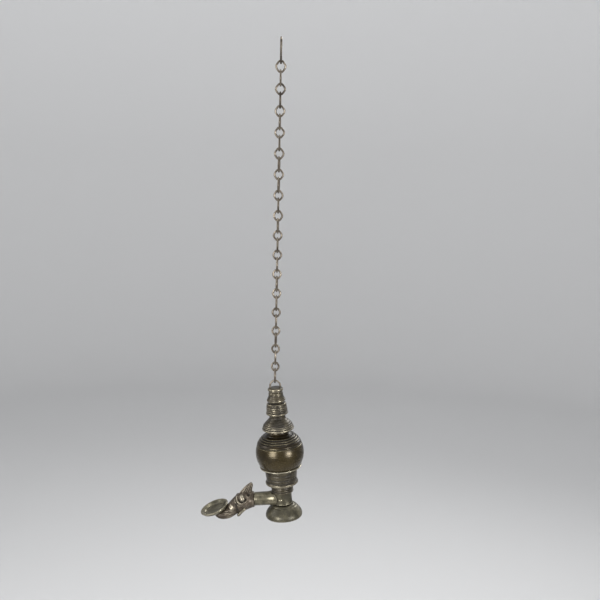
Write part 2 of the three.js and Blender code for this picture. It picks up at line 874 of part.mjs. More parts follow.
// The upper lamp hangs on the chain, and the base screws onto the neck below it.
function upperLamp() {
  const group = new THREE.Group();
  group.add(
    raised(piece("suspension_loop", loopGeometry(), patina.wornBronze), capTop),
    raised(piece("finial_cap", capGeometry(), patina.wornBronze), capBottom),
    raised(
      piece("spire_tier_upper", tierGeometry(upperTierShares, upperTierRadius, upperTierHeight), patina.wornBronze),
      upperTierBottom,
    ),
    raised(
      piece("spire_tier_middle", tierGeometry(middleTierShares, middleTierRadius, middleTierHeight), patina.darkBronze),
      middleTierBottom,
    ),
    raised(
      piece("spire_tier_lower", tierGeometry(lowerTierShares, lowerTierRadius, lowerTierHeight), patina.darkBronze),
      lowerTierBottom,
    ),
    raised(piece("spire_tie_rod", rodGeometry(capBottom + rodTopDepth - rodBottom), patina.darkBronze), rodBottom),
    raised(piece("reservoir_dome", domeGeometry(), patina.darkBronze), domeBottom),
    raised(piece("reservoir_bowl", bowlGeometry(), patina.darkBronze, 0.35), bowlBottom),
    raised(piece("reservoir_neck", neckGeometry(), patina.darkBronze), bowlBottom),
  );
  return group;
}

function baseLamp() {
  const group = new THREE.Group();
  group.add(
    raised(piece("leather_washer", washerGeometry(), patina.leather, 0.9, 0), washerBottom),
    raised(piece("ledge_ring", ledgeGeometry(), patina.wornBronze, 0.4), ledgeBottom),
    raised(piece("socket_cup", cupGeometry(), patina.darkBronze), cupBottom),
    raised(
      piece(
        "collar_ring",
        boredTurning(scaled(collarShares, collarRadius, collarHeight), stemTenonRadius + slideFit),
        patina.darkBronze,
      ),
      collarBottom,
    ),
    raised(piece("stem", stemGeometry(), patina.wornBronze), stemBottom),
    piece("foot", footGeometry(), patina.greenBronze),
    piece("spout_pipe", pipeGeometry(), patina.wornBronze),
    piece("pipe_pin", pinGeometry(), patina.wornBronze),
    piece("beast_head", headGeometry(), patina.redBronze),
    piece("wick_dish", dishGeometry(), patina.greenBronze),
  );
  return group;
}

// Volume and first moment of a closed mesh about the origin of its parent.
function moment(mesh) {
  const flat = mesh.geometry.index ? mesh.geometry.toNonIndexed() : mesh.geometry;
  const points = flat.attributes.position;
  const sum = { volume: 0, x: 0, z: 0 };
  const corner = [new THREE.Vector3(), new THREE.Vector3(), new THREE.Vector3()];
  for (let i = 0; i < points.count; i += 3) {
    corner.forEach((vertex, k) => vertex.fromBufferAttribute(points, i + k).add(mesh.position));
    const [a, b, c] = corner;
    const volume = a.dot(new THREE.Vector3().crossVectors(b, c)) / 6;
    sum.volume += volume;
    sum.x += (volume * (a.x + b.x + c.x)) / 4;
    sum.z += (volume * (a.z + b.z + c.z)) / 4;
  }
  return sum;
}

// The lamp leans until its centre of mass hangs under the link that carries it.
function hangingLean(meshes, pivotHeight) {
  const total = meshes.map(moment).reduce((all, next) => ({
    volume: all.volume + next.volume,
    x: all.x + next.x,
    z: all.z + next.z,
  }));
  return Math.atan2(-total.x, total.z - pivotHeight * total.volume) + Math.PI;
}

function chain(carrier, firstDrop) {
  let above = carrier;
  let drop = firstDrop;
  let heading = Math.PI / 2;
  for (let index = 0; index < linkCount; index += 1) {
    const size = linkSize(index);
    const facing = (index % 2) * (Math.PI / 2) + THREE.MathUtils.degToRad(size.turn);
    const name = `link_${String(index + 1).padStart(2, "0")}`;
    const link = piece(name, linkGeometry(size), patina.wornBronze, 0.55);
    link.position.z = -drop;
    link.rotation.z = facing - heading;
    above.add(link);
    above = link;
    drop = size.pitch;
    heading = facing;
  }
  return { last: above, drop, heading };
}

const wholeLamp = new THREE.Group();
const hook = piece("hanger_hook", hookGeometry(), patina.wornBronze, 0.55);
hook.rotation.z = Math.PI / 2;
wholeLamp.add(hook);
const { last, drop, heading } = chain(hook, hookDrop);
const pivotHeight = lampHeight - loopWire / 2 - wireSeat(linkWire, loopWire);
const upper = upperLamp();
const base = baseLamp();
const lean = hangingLean([...upper.children, ...base.children], pivotHeight);
const lamp = new THREE.Group();
lamp.name = "lamp";
lamp.position.z = -drop;
lamp.rotation.set(0, lean, -heading, "ZYX");
const upright = new THREE.Group();
upright.position.z = -pivotHeight;
upright.add(upper, base);
lamp.add(upright);
last.add(lamp);

export default wholeLamp;
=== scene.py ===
import json
import math
import bpy
import numpy as np
from mathutils import Matrix, Vector


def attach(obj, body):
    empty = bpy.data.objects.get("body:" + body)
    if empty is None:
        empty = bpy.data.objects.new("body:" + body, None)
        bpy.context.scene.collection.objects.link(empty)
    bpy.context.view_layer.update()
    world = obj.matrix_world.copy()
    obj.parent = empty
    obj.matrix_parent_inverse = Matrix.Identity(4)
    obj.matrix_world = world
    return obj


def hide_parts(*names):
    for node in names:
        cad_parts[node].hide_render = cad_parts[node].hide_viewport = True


# A hanging bronze oil lamp: turned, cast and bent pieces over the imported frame, in metres.
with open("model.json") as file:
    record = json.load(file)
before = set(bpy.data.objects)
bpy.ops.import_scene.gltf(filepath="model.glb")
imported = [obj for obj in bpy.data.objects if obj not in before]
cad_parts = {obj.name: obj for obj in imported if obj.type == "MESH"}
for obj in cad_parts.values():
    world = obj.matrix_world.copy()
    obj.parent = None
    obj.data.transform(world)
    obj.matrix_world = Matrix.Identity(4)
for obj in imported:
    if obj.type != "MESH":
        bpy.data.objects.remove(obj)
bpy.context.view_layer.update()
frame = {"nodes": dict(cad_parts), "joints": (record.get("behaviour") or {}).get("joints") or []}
joints = {joint["name"]: joint for joint in frame["joints"]}
mm = 0.001
chance = np.random.default_rng(7)

# the lamp's own upright frame: the foot's middle, with up along the screw's axis
screwAxis = np.array(joints["base_unscrew"]["axis"])
lampUp = -screwAxis / np.linalg.norm(screwAxis)
lampBack = np.array((0.0, 1.0, 0.0))
lampAcross = np.cross(lampBack, lampUp)
lampFoot = np.array(joints["base_unscrew"]["pos_m"])


def toRoom(points):  # millimetres in the lamp's frame become metres in the room
    p = np.asarray(points, float)
    return lampFoot + mm * (p[..., :1] * lampAcross + p[..., 1:2] * lampBack + p[..., 2:] * lampUp)


def nodePoints(node):  # the corners of a CAD node
    data = frame["nodes"][node].data
    flat = np.empty(len(data.vertices) * 3, np.float32)
    data.vertices.foreach_get("co", flat)
    return flat.reshape(-1, 3)


def lampBox(node):  # bottom, height and radius of a CAD node in the lamp's frame, in millimetres
    local = (nodePoints(node) - lampFoot) @ np.array((lampAcross, lampBack, lampUp)).T / mm
    return local[:, 2].min(), np.ptp(local[:, 2]), np.hypot(local[:, 0], local[:, 1]).max()


# curves and lines

def ease(low, high, values):  # 0 at low, 1 at high, and a smooth S between
    t = np.clip((values - low) / (high - low), 0, 1)
    return t * t * (3 - 2 * t)


def ridge(values, at, width):  # 1 at one place, fading to both sides
    return np.exp(-(((values - at) / width) ** 2))


def form(distance, shape):  # a carved roll or cut: its rise, how far away it runs, and its width
    rise, at, width = shape
    return rise * ridge(distance, at, width)


def swelling(out, up, middle, sizes, power):  # 1 in the middle of an oval, fading to its edge
    return np.exp(-np.hypot((out - middle[0]) / sizes[0], (up - middle[1]) / sizes[1]) ** power)


def fullTurn(count):
    return np.linspace(0, 2 * np.pi, count, endpoint=False)


def unit(vectors):
    return vectors / np.linalg.norm(vectors, axis=1)[:, None]


def walked(outline, step):  # points along a polyline, evenly between its corners
    outline = np.asarray(outline, float)
    parts = [outline[:1]]
    for a, b in zip(outline[:-1], outline[1:]):
        count = max(1, int(round(np.linalg.norm(b - a) / step)))
        parts.append(a + (b - a) * (np.arange(1, count + 1) / count)[:, None])
    return np.vstack(parts)


def softened(line, times, closed=False):  # each point moves towards the middle of its neighbours
    line = line.copy()
    for _ in range(times):
        if closed:
            line = (np.roll(line, 1, 0) + 2 * line + np.roll(line, -1, 0)) / 4
        else:
            line[1:-1] = (line[:-2] + 2 * line[1:-1] + line[2:]) / 4
    return line


# meshes

def gridFaces(rows, columns, closedRows=False):  # quads between neighbouring points on rows of rings
    place = np.arange(rows * columns).reshape(rows, columns)
    if closedRows:
        place = np.vstack((place, place[:1]))
    place = np.hstack((place, place[:, :1]))
    return np.stack((place[:-1, :-1], place[:-1, 1:], place[1:, 1:], place[1:, :-1]), -1).reshape(-1, 4)


def capFaces(ring, pole):  # a fan from one closed ring of points to its pole
    return np.stack((ring, np.roll(ring, -1), np.full(len(ring), pole)), -1)


def capped(rings):  # rings of points in a row, with a fan to the middle of the first and the last
    count, sides = rings.shape[:2]
    first, pole = np.arange(sides), count * sides
    faces = [gridFaces(count, sides), capFaces(first[::-1], pole), capFaces(first + pole - sides, pole + 1)]
    return np.vstack((rings.reshape(-1, 3), rings[0].mean(0), rings[-1].mean(0))), faces


def signedVolume(points, groups):  # six times the volume inside, negative where the faces point in
    total = 0.0
    for faces in groups:
        for k in range(1, faces.shape[1] - 1):
            a, b, c = points[faces[:, 0]], points[faces[:, k]], points[faces[:, k + 1]]
            total += np.einsum("ij,ij->i", a, np.cross(b, c)).sum()
    return total


def addObject(name, data):
    thing = bpy.data.objects.new(name, data)
    bpy.context.scene.collection.objects.link(thing)
    return thing


def makePiece(name, points, groups, body, nodes, finish, wear, grimeAndShade):
    points = np.asarray(points, float).reshape(-1, 3)
    if signedVolume(points - points.mean(0), groups) < 0:
        groups = [faces[:, ::-1] for faces in groups]
    mesh = bpy.data.meshes.new(name)
    counts = np.concatenate([np.full(len(faces), faces.shape[1]) for faces in groups])
    corners = np.concatenate([faces.ravel() for faces in groups])
    mesh.vertices.add(len(points))
    mesh.vertices.foreach_set("co", points.ravel())
    mesh.loops.add(len(corners))
    mesh.loops.foreach_set("vertex_index", corners.astype(np.int32))
    mesh.polygons.add(len(counts))
    starts = np.concatenate(([0], np.cumsum(counts)[:-1]))
    mesh.polygons.foreach_set("loop_start", starts.astype(np.int32))
    mesh.update(calc_edges=True)
    mesh.polygons.foreach_set("use_smooth", np.ones(len(counts), bool))
    # each point carries its wear, a mask of dirt and painted shade, and a random tone
    for label, values in (("wear", wear), ("grimeAndShade", grimeAndShade), ("tone", chance.uniform(0, 1))):
        layer = mesh.attributes.new(label, "FLOAT", "POINT")
        layer.data.foreach_set("value", np.broadcast_to(values, len(points)).astype(np.float32))
    mesh.materials.append(finishes[finish])
    piece = addObject(name, mesh)
    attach(piece, body)
    if nodes:
        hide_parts(*nodes)


# finishes

# each finish's dirt colour is also the colour its painted shade is drawn in
finishSettings = {
    "cast": {"dark": (0.017, 0.0135, 0.008), "light": (0.066, 0.055, 0.035), "rubbed": (0.24, 0.212, 0.155),
        "dirtAndShade": (0.004, 0.0032, 0.002), "patch": 90, "grain": 900, "rough": (0.27, 0.46),
        "bump": 0.35, "metal": (0.3, 0.8)},
    # rim: a paler bronze for the ledge ring and the lower lips, partly rubbed metal and partly a painted highlight
    # along their rolled edges
    "rim": {"dark": (0.08, 0.07, 0.05), "light": (0.16, 0.142, 0.102), "rubbed": (0.34, 0.31, 0.235),
        "dirtAndShade": (0.012, 0.009, 0.006), "patch": 90, "grain": 900, "rough": (0.28, 0.42),
        "bump": 0.3, "metal": (0.4, 0.8)},
    "globe": {"dark": (0.013, 0.0086, 0.003), "light": (0.038, 0.0275, 0.01), "rubbed": (0.14, 0.12, 0.075),
        "dirtAndShade": (0.004, 0.003, 0.0015), "patch": 55, "grain": 500, "rough": (0.24, 0.36),
        "bump": 0.14, "metal": (0.35, 0.8)},
    "head": {"dark": (0.034, 0.025, 0.016), "light": (0.098, 0.077, 0.055), "rubbed": (0.27, 0.24, 0.185),
        "dirtAndShade": (0.009, 0.0065, 0.004), "patch": 120, "grain": 800, "rough": (0.3, 0.5),
        "bump": 0.4, "metal": (0.3, 0.75)},
    "foot": {"dark": (0.036, 0.032, 0.02), "light": (0.112, 0.1, 0.064), "rubbed": (0.26, 0.235, 0.172),
        "dirtAndShade": (0.008, 0.0072, 0.0045), "patch": 80, "grain": 700, "rough": (0.27, 0.46),
        "bump": 0.45, "metal": (0.3, 0.8)},
    "chain": {"dark": (0.022, 0.015, 0.01), "light": (0.075, 0.06, 0.044), "rubbed": (0.22, 0.19, 0.15),
        "dirtAndShade": (0.016, 0.0075, 0.004), "patch": 160, "grain": 1500, "rough": (0.32, 0.55),
        "bump": 0.35, "metal": (0.3, 0.75)},
}
# how patches, grain, rubbing, and dirt with painted shade mix in every bronze: spans of noise, and shares of one in
# another
weathering = {
    "grainShare": 0.3, "toneShare": 0.12, "patinaSpan": (0.4, 0.64), "cloudScale": 0.35, "cloudShare": 0.8,
    "dirtAndShadeSpan": (0.25, 0.85), "dirtAndShadeCover": 0.85, "patchShare": 0.9, "edgeSpan": (0.3, 0.9), "edgeCover": 0.8,
    "glossSpan": (0.35, 0.68), "dirtAndShadeRough": 0.25, "edgeGloss": 0.1, "metalSpan": (-0.6, 0.7),
    "specular": 0.45, "bumpDistance": 0.0004,
}
leatherLook = {"pebbles": 1400, "dark": (0.018, 0.009, 0.005), "light": (0.05, 0.026, 0.014), "rough": 0.7,
               "bump": 0.4, "bumpDistance": 0.0003}


def feed(tree, node, inputs):  # numbers, colours or other nodes' outputs go into a node's sockets
    for label, value in inputs.items():
        if isinstance(value, bpy.types.NodeSocket):
            tree.links.new(value, node.inputs[label])
        else:
            node.inputs[label].default_value = (*value, 1) if isinstance(value, tuple) else value


def newNode(tree, kind, inputs, output=0, **settings):
    node = tree.nodes.new("ShaderNode" + kind)
    for key, value in settings.items():
        setattr(node, key, value)
    feed(tree, node, inputs)
    return node.outputs[output]


def mapped(tree, value, span, to, kind):
    labels = ("Value", "From Min", "From Max", "To Min", "To Max")
    return newNode(tree, "MapRange", dict(zip(labels, (value, *span, *to))), "Result", interpolation_type=kind)


def bump(tree, height, strength, distance):
    return newNode(tree, "Bump", {"Strength": strength, "Distance": distance, "Height": height}, "Normal")


def newMaterial(name):
    material = bpy.data.materials.new(name)
    material.use_nodes = True
    tree = material.node_tree
    return material, tree, tree.nodes["Principled BSDF"], newNode(tree, "TexCoord", {}, "Object")


def bronzeFinish(name, look):
    material, tree, shader, place = newMaterial(name)
    mix = weathering

    def noise(scale, detail, roughness=0.55):
        settings = {"Vector": place, "Scale": scale, "Detail": detail, "Roughness": roughness}
        return newNode(tree, "TexNoise", settings, "Fac")

    def maths(operation, a, b, clamp=False):
        return newNode(tree, "Math", {0: a, 1: b}, operation=operation, use_clamp=clamp)

    def times(a, b):
        return maths("MULTIPLY", a, b)

    def swung(value, noisy, share):  # a value moved up and down by a noise round a half
        return maths("ADD", value, times(maths("SUBTRACT", noisy, 0.5), share))

    def spread(value, span, to=(0.0, 1.0)):
        return mapped(tree, value, span, to, "SMOOTHSTEP")

    def blend(share, a, b):
        return newNode(tree, "Mix", {"Factor": share, 6: a, 7: b}, 2, data_type="RGBA")

    patches = noise(look["patch"], 5)
    grain = noise(look["grain"], 4, 0.65)
    cloud = noise(look["patch"] * mix["cloudScale"], 2)
    labels = ("wear", "grimeAndShade", "tone")
    wear, grimeAndShade, tone = [newNode(tree, "Attribute", {}, "Fac", attribute_name=label) for label in labels]
    mottle = maths("ADD", times(patches, 1 - mix["grainShare"]), times(grain, mix["grainShare"]))
    mottle = swung(mottle, tone, mix["toneShare"])
    patina = blend(spread(mottle, mix["patinaSpan"]), look["dark"], look["light"])
    # the dirt colour goes on by the mask of dirt and painted shade
    dirtAndShadeMask = spread(swung(grimeAndShade, cloud, mix["cloudShare"]), mix["dirtAndShadeSpan"])
    patina = blend(times(dirtAndShadeMask, mix["dirtAndShadeCover"]), patina, look["dirtAndShade"])
    edges = spread(swung(wear, patches, mix["patchShare"]), mix["edgeSpan"])
    rough = spread(mottle, mix["glossSpan"], look["rough"][::-1])
    rough = maths("ADD", rough, times(dirtAndShadeMask, mix["dirtAndShadeRough"]))
    height = maths("ADD", times(grain, 0.5), patches)
    feed(tree, shader, {
        "Base Color": blend(times(edges, mix["edgeCover"]), patina, look["rubbed"]),
        "Roughness": maths("SUBTRACT", rough, times(edges, mix["edgeGloss"]), True),
        "Metallic": spread(maths("SUBTRACT", edges, dirtAndShadeMask), mix["metalSpan"], look["metal"]),
        "Specular IOR Level": mix["specular"],
        "Normal": bump(tree, height, look["bump"], mix["bumpDistance"]),
    })
    return material


def leatherFinish(name, look):
    material, tree, shader, place = newMaterial(name)
    pebbles = newNode(tree, "TexVoronoi", {"Vector": place, "Scale": look["pebbles"]}, "Distance")
    colour = newNode(tree, "ValToRGB", {"Fac": pebbles}, "Color")
    for stop, shade in zip(colour.node.color_ramp.elements, (look["light"], look["dark"])):
        stop.color = (*shade, 1)
    normal = bump(tree, pebbles, look["bump"], look["bumpDistance"])
    feed(tree, shader, {"Base Color": colour, "Roughness": look["rough"], "Normal": normal})
    return material


finishes = {name: bronzeFinish(name + "Bronze", look) for name, look in finishSettings.items()}
finishes["washer"] = leatherFinish("oiledLeather", leatherLook)
for node, finish in (("spire_tie_rod", "cast"), ("leather_washer", "washer")):
    frame["nodes"][node].data.materials.clear()
    frame["nodes"][node].data.materials.append(finishes[finish])
print("finishes: ready")

# turned pieces

turning = {"outerStep": 0.22, "innerStep": 1.2, "sides": 120, "smallSides": 88, "smallRadius": 16, "wobble": 0.0025,
           "inset": 0.002, "rubbedBend": (0.15, 1.0), "dirtyBend": (0.1, 1.0), "shaded": (0.35, 0.9),
           "inside": (0, 0.8), "poles": (0.3, 0.3)}
noInside = np.empty((0, 2))
threadPitch = 2.5  # millimetres a turn, on the neck and in the cup


def bends(line):  # signed bend per millimetre along an outline that runs upwards on its outer side
    ahead = np.gradient(line, axis=0)
    length = np.hypot(*ahead.T) + 1e-9
    heading = np.unwrap(np.arctan2(ahead[:, 1], ahead[:, 0]))
    return np.gradient(heading) / length


def rubDirtAndShade(line):  # rubbed where the outline bulges sharply, dirty in its hollows, and painted shade where it faces down
    ahead = np.gradient(line, axis=0)
    facingDown = ahead[:, 0] / (np.hypot(*ahead.T) + 1e-9)
    bend = softened(bends(line), 3)
    rub = 1.3 * softened(ease(*turning["rubbedBend"], bend), 6)
    # the second term is painted shade: darker where the outline faces down, under lips and rims
    dirtAndShade = 1.2 * softened(ease(*turning["dirtyBend"], -bend), 5) + 0.9 * ease(*turning["shaded"], facingDown)
    return np.clip(rub, 0, 1), np.clip(dirtAndShade, 0, 1.2)


def dressed(line, beads):  # the outline moves out along its own normal by a rounded bead, or in by a groove
    ahead = np.gradient(line, axis=0)
    outwards = np.stack((ahead[:, 1], -ahead[:, 0]), 1) / (np.hypot(*ahead.T)[:, None] + 1e-9)
    lift = sum(height * ridge(line[:, 1], at, width) for at, height, width in beads)
    return line + outwards * np.broadcast_to(lift, len(line))[:, None]


def turnedOutline(look, radius, height):  # the look's shares and beads at full size, kept in the solid's box
    line = softened(walked(np.array(look["outer"]) * (radius, height), turning["outerStep"]), look["soft"])
    line = dressed(line, [(at * height, lift, width) for at, lift, width in look.get("beads", [])])
    return np.clip(line, 0, (radius, height))


def revolved(outer, inner, sides, phase, poles=False):
    # point = (r cos t, r sin t, z): the outline (r, z) carried round the axis, a little out of round
    line = np.vstack((outer, inner))
    turn = fullTurn(sides)
    wave = turning["wobble"] * (0.6 * np.sin(2 * turn + phase) + 0.4 * np.sin(3 * turn + 2 * phase))
    weight = np.concatenate((np.ones(len(outer)), np.zeros(len(inner))))[:, None]
    r = line[:, :1] * (1 + (wave - turning["inset"]) * weight)
    points = np.stack((r * np.cos(turn), r * np.sin(turn), np.broadcast_to(line[:, 1:], r.shape)), -1)
    if poles:
        return capped(points)
    return points.reshape(-1, 3), [gridFaces(len(line), sides, closedRows=True)]


def carried(outer, inside, innerCount, sides, poles=()):  # a value for each ring, the same all the way round
    return np.concatenate((np.repeat(np.concatenate((outer, np.full(innerCount, inside))), sides), poles))


def threadWave(points, bottom):  # swings between -1 and 1, and climbs one pitch a turn
    turn = np.arctan2(points[:, 1], points[:, 0])
    return np.cos(2 * np.pi * (points[:, 2] + bottom) / threadPitch - turn)


def turnedPiece(name, look):
    bottom, height, radius = lampBox(look["node"])
    outer = turnedOutline(look, radius, height)
    inner = noInside
    if "bore" in look:
        inner = walked([(look["bore"], height), (look["bore"], 0)], turning["innerStep"])
    elif "inner" in look:
        inner = softened(walked(look["inner"], look["innerStep"]), look["innerSoft"])
    solid = not len(inner)
    sides = turning["smallSides" if radius < turning["smallRadius"] else "sides"]
    poles = turning["poles"] if solid else ()
    rub, dirtAndShade = rubDirtAndShade(outer)
    if "lip" in look:  # a shoulder made bright, partly rubbed metal and partly a painted highlight, with its painted shade taken off
        at, width = look["lip"]
        lip = ridge(outer[:, 1], at * height, width)
        rub, dirtAndShade = np.clip(rub + 0.75 * lip, 0, 1), dirtAndShade * (1 - 0.9 * lip)
    insideWear, insideDarkening = look.get("inside", turning["inside"])
    wear = carried(look.get("wear", 0) + look.get("rub", 1) * rub, insideWear, len(inner), sides, poles)
    grimeAndShade = carried(dirtAndShade, insideDarkening, len(inner), sides, poles)
    points, faces = revolved(outer, inner, sides, look.get("phase", radius), solid)
    if "thread" in look:  # the socket's wall moves out by the thread's wave
        wallAt, depth, low, high = look["thread"]
        threaded = (inner[:, 0] == wallAt) & (inner[:, 1] > low) & (inner[:, 1] < high)
        wall = np.repeat(np.concatenate((np.zeros(len(outer)), threaded)), sides)
        points[:, :2] *= (1 + wall * (0.5 + 0.5 * threadWave(points, bottom)) * depth / wallAt)[:, None]
    turn, reach = np.arctan2(points[:, 1], points[:, 0]), np.hypot(points[:, 0], points[:, 1])
    pitted = np.zeros(len(points))
    for at, heading, depth, width in look.get("pits", []):  # small flaws left by the casting
        around = (turn - math.radians(heading) + np.pi) % (2 * np.pi) - np.pi
        gap = np.hypot(points[:, 2] - at * height, around * radius) / width
        pitted = np.maximum(pitted, depth * np.exp(-(gap ** 4)) * (reach > 0.7 * radius))
    points[:, :2] *= (1 - pitted / radius)[:, None]
    points[:, 2] += bottom
    makePiece(name, toRoom(points), faces, look["body"], [look["node"]], look["finish"], wear, grimeAndShade + 1.5 * pitted)


turnedLooks = {
    "finialCap": {
        "node": "finial_cap", "body": "upper_lamp", "finish": "cast", "soft": 3,
        "outer": [(0, 0), (0.84, 0), (0.93, 0.1), (0.88, 0.2), (0.9, 0.3), (0.99, 0.42), (1, 0.62), (0.96, 0.8),
            (0.84, 0.93), (0.6, 0.99), (0.3, 1), (0, 1)],
    },
    "spireTierUpper": {
        "node": "spire_tier_upper", "body": "upper_lamp", "finish": "cast", "soft": 2, "bore": 2.8,
        "outer": [(0.72, 0), (0.75, 0.03), (0.92, 0.06), (0.99, 0.1), (1, 0.17), (0.975, 0.25), (0.92, 0.34),
            (0.85, 0.45), (0.8, 0.57), (0.77, 0.7), (0.755, 0.82), (0.745, 0.9), (0.71, 0.97), (0.69, 1)],
        "beads": [(0.31, -0.2, 0.4), (0.63, -0.3, 0.42), (0.86, 0.28, 0.6)],
    },
    "spireTierMiddle": {
        "node": "spire_tier_middle", "body": "upper_lamp", "finish": "cast", "soft": 2, "bore": 2.8,
        "outer": [(0.68, 0), (0.7, 0.04), (0.93, 0.065), (0.99, 0.1), (1, 0.155), (0.985, 0.2), (0.95, 0.25),
            (0.95, 0.36), (0.935, 0.5), (0.92, 0.62), (0.9, 0.75), (0.885, 0.84), (0.84, 0.9), (0.68, 0.93),
            (0.64, 1)],
        "beads": [(0.26, -0.42, 0.42), (0.4, -0.36, 0.4), (0.535, -0.36, 0.4), (0.67, -0.42, 0.45)],
        "pits": [(0.79, -104, 0.8, 0.75), (0.8, -55, 0.7, 0.6), (0.78, 40, 0.6, 0.6)],
    },
    "spireTierLower": {
        "node": "spire_tier_lower", "body": "upper_lamp", "finish": "cast", "soft": 2, "bore": 2.8,
        "outer": [(0.6, 0), (0.62, 0.04), (0.91, 0.06), (0.985, 0.085), (1, 0.13), (0.99, 0.17), (0.965, 0.21),
            (0.955, 0.28), (0.925, 0.35), (0.875, 0.43), (0.81, 0.51), (0.74, 0.58), (0.655, 0.66), (0.58, 0.735),
            (0.53, 0.79), (0.5, 0.84), (0.505, 1)],
        "beads": [(0.215, -0.46, 0.45), (0.32, -0.36, 0.42), (0.42, -0.38, 0.42), (0.52, -0.28, 0.42),
            (0.66, -0.16, 0.4)],
    },
    # the ledge ring's paler rim bronze is partly a painted highlight
    "ledgeRing": {
        "node": "ledge_ring", "body": "base", "finish": "rim", "soft": 1, "rub": 1.4, "bore": 12,
        "outer": [(0.82, 0), (0.95, 0.12), (0.99, 0.35), (1, 0.6), (0.99, 0.85), (0.955, 1)],
    },
    "collarRing": {
        "node": "collar_ring", "body": "base", "finish": "cast", "rub": 0.45, "soft": 2, "bore": 8.3,
        "outer": [(0.88, 0), (0.97, 0.08), (1, 0.22), (1, 0.42), (0.96, 0.54), (0.985, 0.66), (0.985, 0.84),
            (0.9, 1)],
        "beads": [(0.54, -0.25, 0.4)],
    },
}
for name, look in turnedLooks.items():
    turnedPiece(name, look)
print("turned pieces: made")


# The dome: three rounded steps between shallow coves, and a deep groove above the globe.
domeLook = {
    "outer": [(0.985, 0), (0.99, 0.03), (0.975, 0.13), (0.935, 0.24), (0.89, 0.31), (0.9, 0.35), (0.865, 0.4),
        (0.815, 0.445), (0.825, 0.485), (0.785, 0.53), (0.73, 0.57), (0.74, 0.61), (0.69, 0.65), (0.62, 0.69),
        (0.57, 0.72), (0.52, 0.78), (0.48, 0.84), (0.455, 0.92), (0.445, 1)],
    "beads": [(0.9, -0.6, 0.4), (5.0, -0.5, 0.38), (7.2, -0.5, 0.38), (9.3, -0.5, 0.38), (11.6, -0.35, 0.4)],
    "inner": [(2.8, 16.4), (2.8, 12.3), (9.85, 12.3), (17, 8.86), (21.3, 5.58), (22.8, 0)], "lip": (22.8, 24.2),
    "rim": 26.61, "height": 16.4, "soft": 2, "rub": 0.75,
}


def dome():
    look = domeLook
    bottom, height, _ = lampBox("reservoir_dome")
    lift = height - look["height"]
    outer = walked(np.array(look["outer"]) * (look["rim"], look["height"]), turning["outerStep"])
    outer = dressed(softened(outer, look["soft"]), look["beads"])
    lipInside, lipOutside = look["lip"]
    lip = [(lipInside, -lift), (lipOutside, -lift), (lipOutside, 0)]
    inner = walked(look["inner"] + lip, turning["innerStep"])
    rub, dirtAndShade = rubDirtAndShade(outer)
    # painted shade under the lower tier's lip: the dome grows darker towards its top
    dirtAndShade = dirtAndShade + 0.5 * ease(height - 3, look["height"], outer[:, 1])
    sides = turning["sides"]
    wear = carried(look["rub"] * rub, 0, len(inner), sides)
    grimeAndShade = carried(dirtAndShade, turning["inside"][1], len(inner), sides)
    points, faces = revolved(outer, inner, sides, 1.3)
    points[:, 2] += bottom + lift
    makePiece("domeShell", toRoom(points), faces, "upper_lamp", ["reservoir_dome"], "globe", wear, grimeAndShade)


# The globe: a smooth half sphere with a flat floor, a rolled upper edge and faint turning lines.
globeLook = {"radius": 28.49, "equator": 15.9, "rim": 10.2, "wall": 2, "hole": 9.3, "lineDepth": 0.035,
             "lines": (60, 23), "edges": (0.25, 0.3), "rings": 130, "innerRings": 26, "sides": 144}


def globe():
    look = globeLook
    bottom = lampBox("reservoir_bowl")[0]
    radius, equator, wall, hole = look["radius"], look["equator"], look["wall"], look["hole"]
    low, high = math.asin(-equator / radius), math.asin(look["rim"] / radius)
    angle = np.linspace(low, high, look["rings"])
    fine, coarse = [np.sin(count * angle) for count in look["lines"]]
    ring = radius - look["lineDepth"] * (1 + fine * coarse) * ease(0.1, 0.4, high - angle)
    outer = np.stack((ring * np.cos(angle), equator + radius * np.sin(angle)), 1)
    outer[[0, -1], 0] -= look["edges"]
    inside = radius - wall
    back = np.linspace(math.asin(look["rim"] / inside), math.asin((wall - equator) / inside), look["innerRings"])
    inner = np.stack((inside * np.cos(back), equator + inside * np.sin(back)), 1)
    inner = np.vstack((inner, walked([(hole, wall), (hole, 0), (outer[0, 0] - 0.4, 0)], 1.5)))
    fromTop, fromFloor = high - angle, angle - low
    rub = 0.75 * ease(0.05, 0, fromTop) + 0.5 * ease(0.05, 0, fromFloor)
    wear = carried(rub, 0, len(inner), look["sides"])
    # painted shade: the globe darkens towards its floor, just above the ledge ring
    grimeAndShade = carried(0.5 * ease(0.35, 0, fromFloor), turning["inside"][1], len(inner), look["sides"])
    points, faces = revolved(outer, inner, look["sides"], 0.4)
    points[:, 2] += bottom
    makePiece("globeBowl", toRoom(points), faces, "upper_lamp", ["reservoir_bowl"], "globe", wear, grimeAndShade)


# The neck: a flange inside the globe and a short tube below it, with its thread outside.
neckLook = {"radius": 9, "bore": 7.2, "shoulder": 11.7, "flange": 12, "top": 13.3, "chamfer": 0.7, "depth": 0.75,
            "threadStart": (0.3, 1.2), "threadEnd": (9.5, 8.3), "sides": 96}


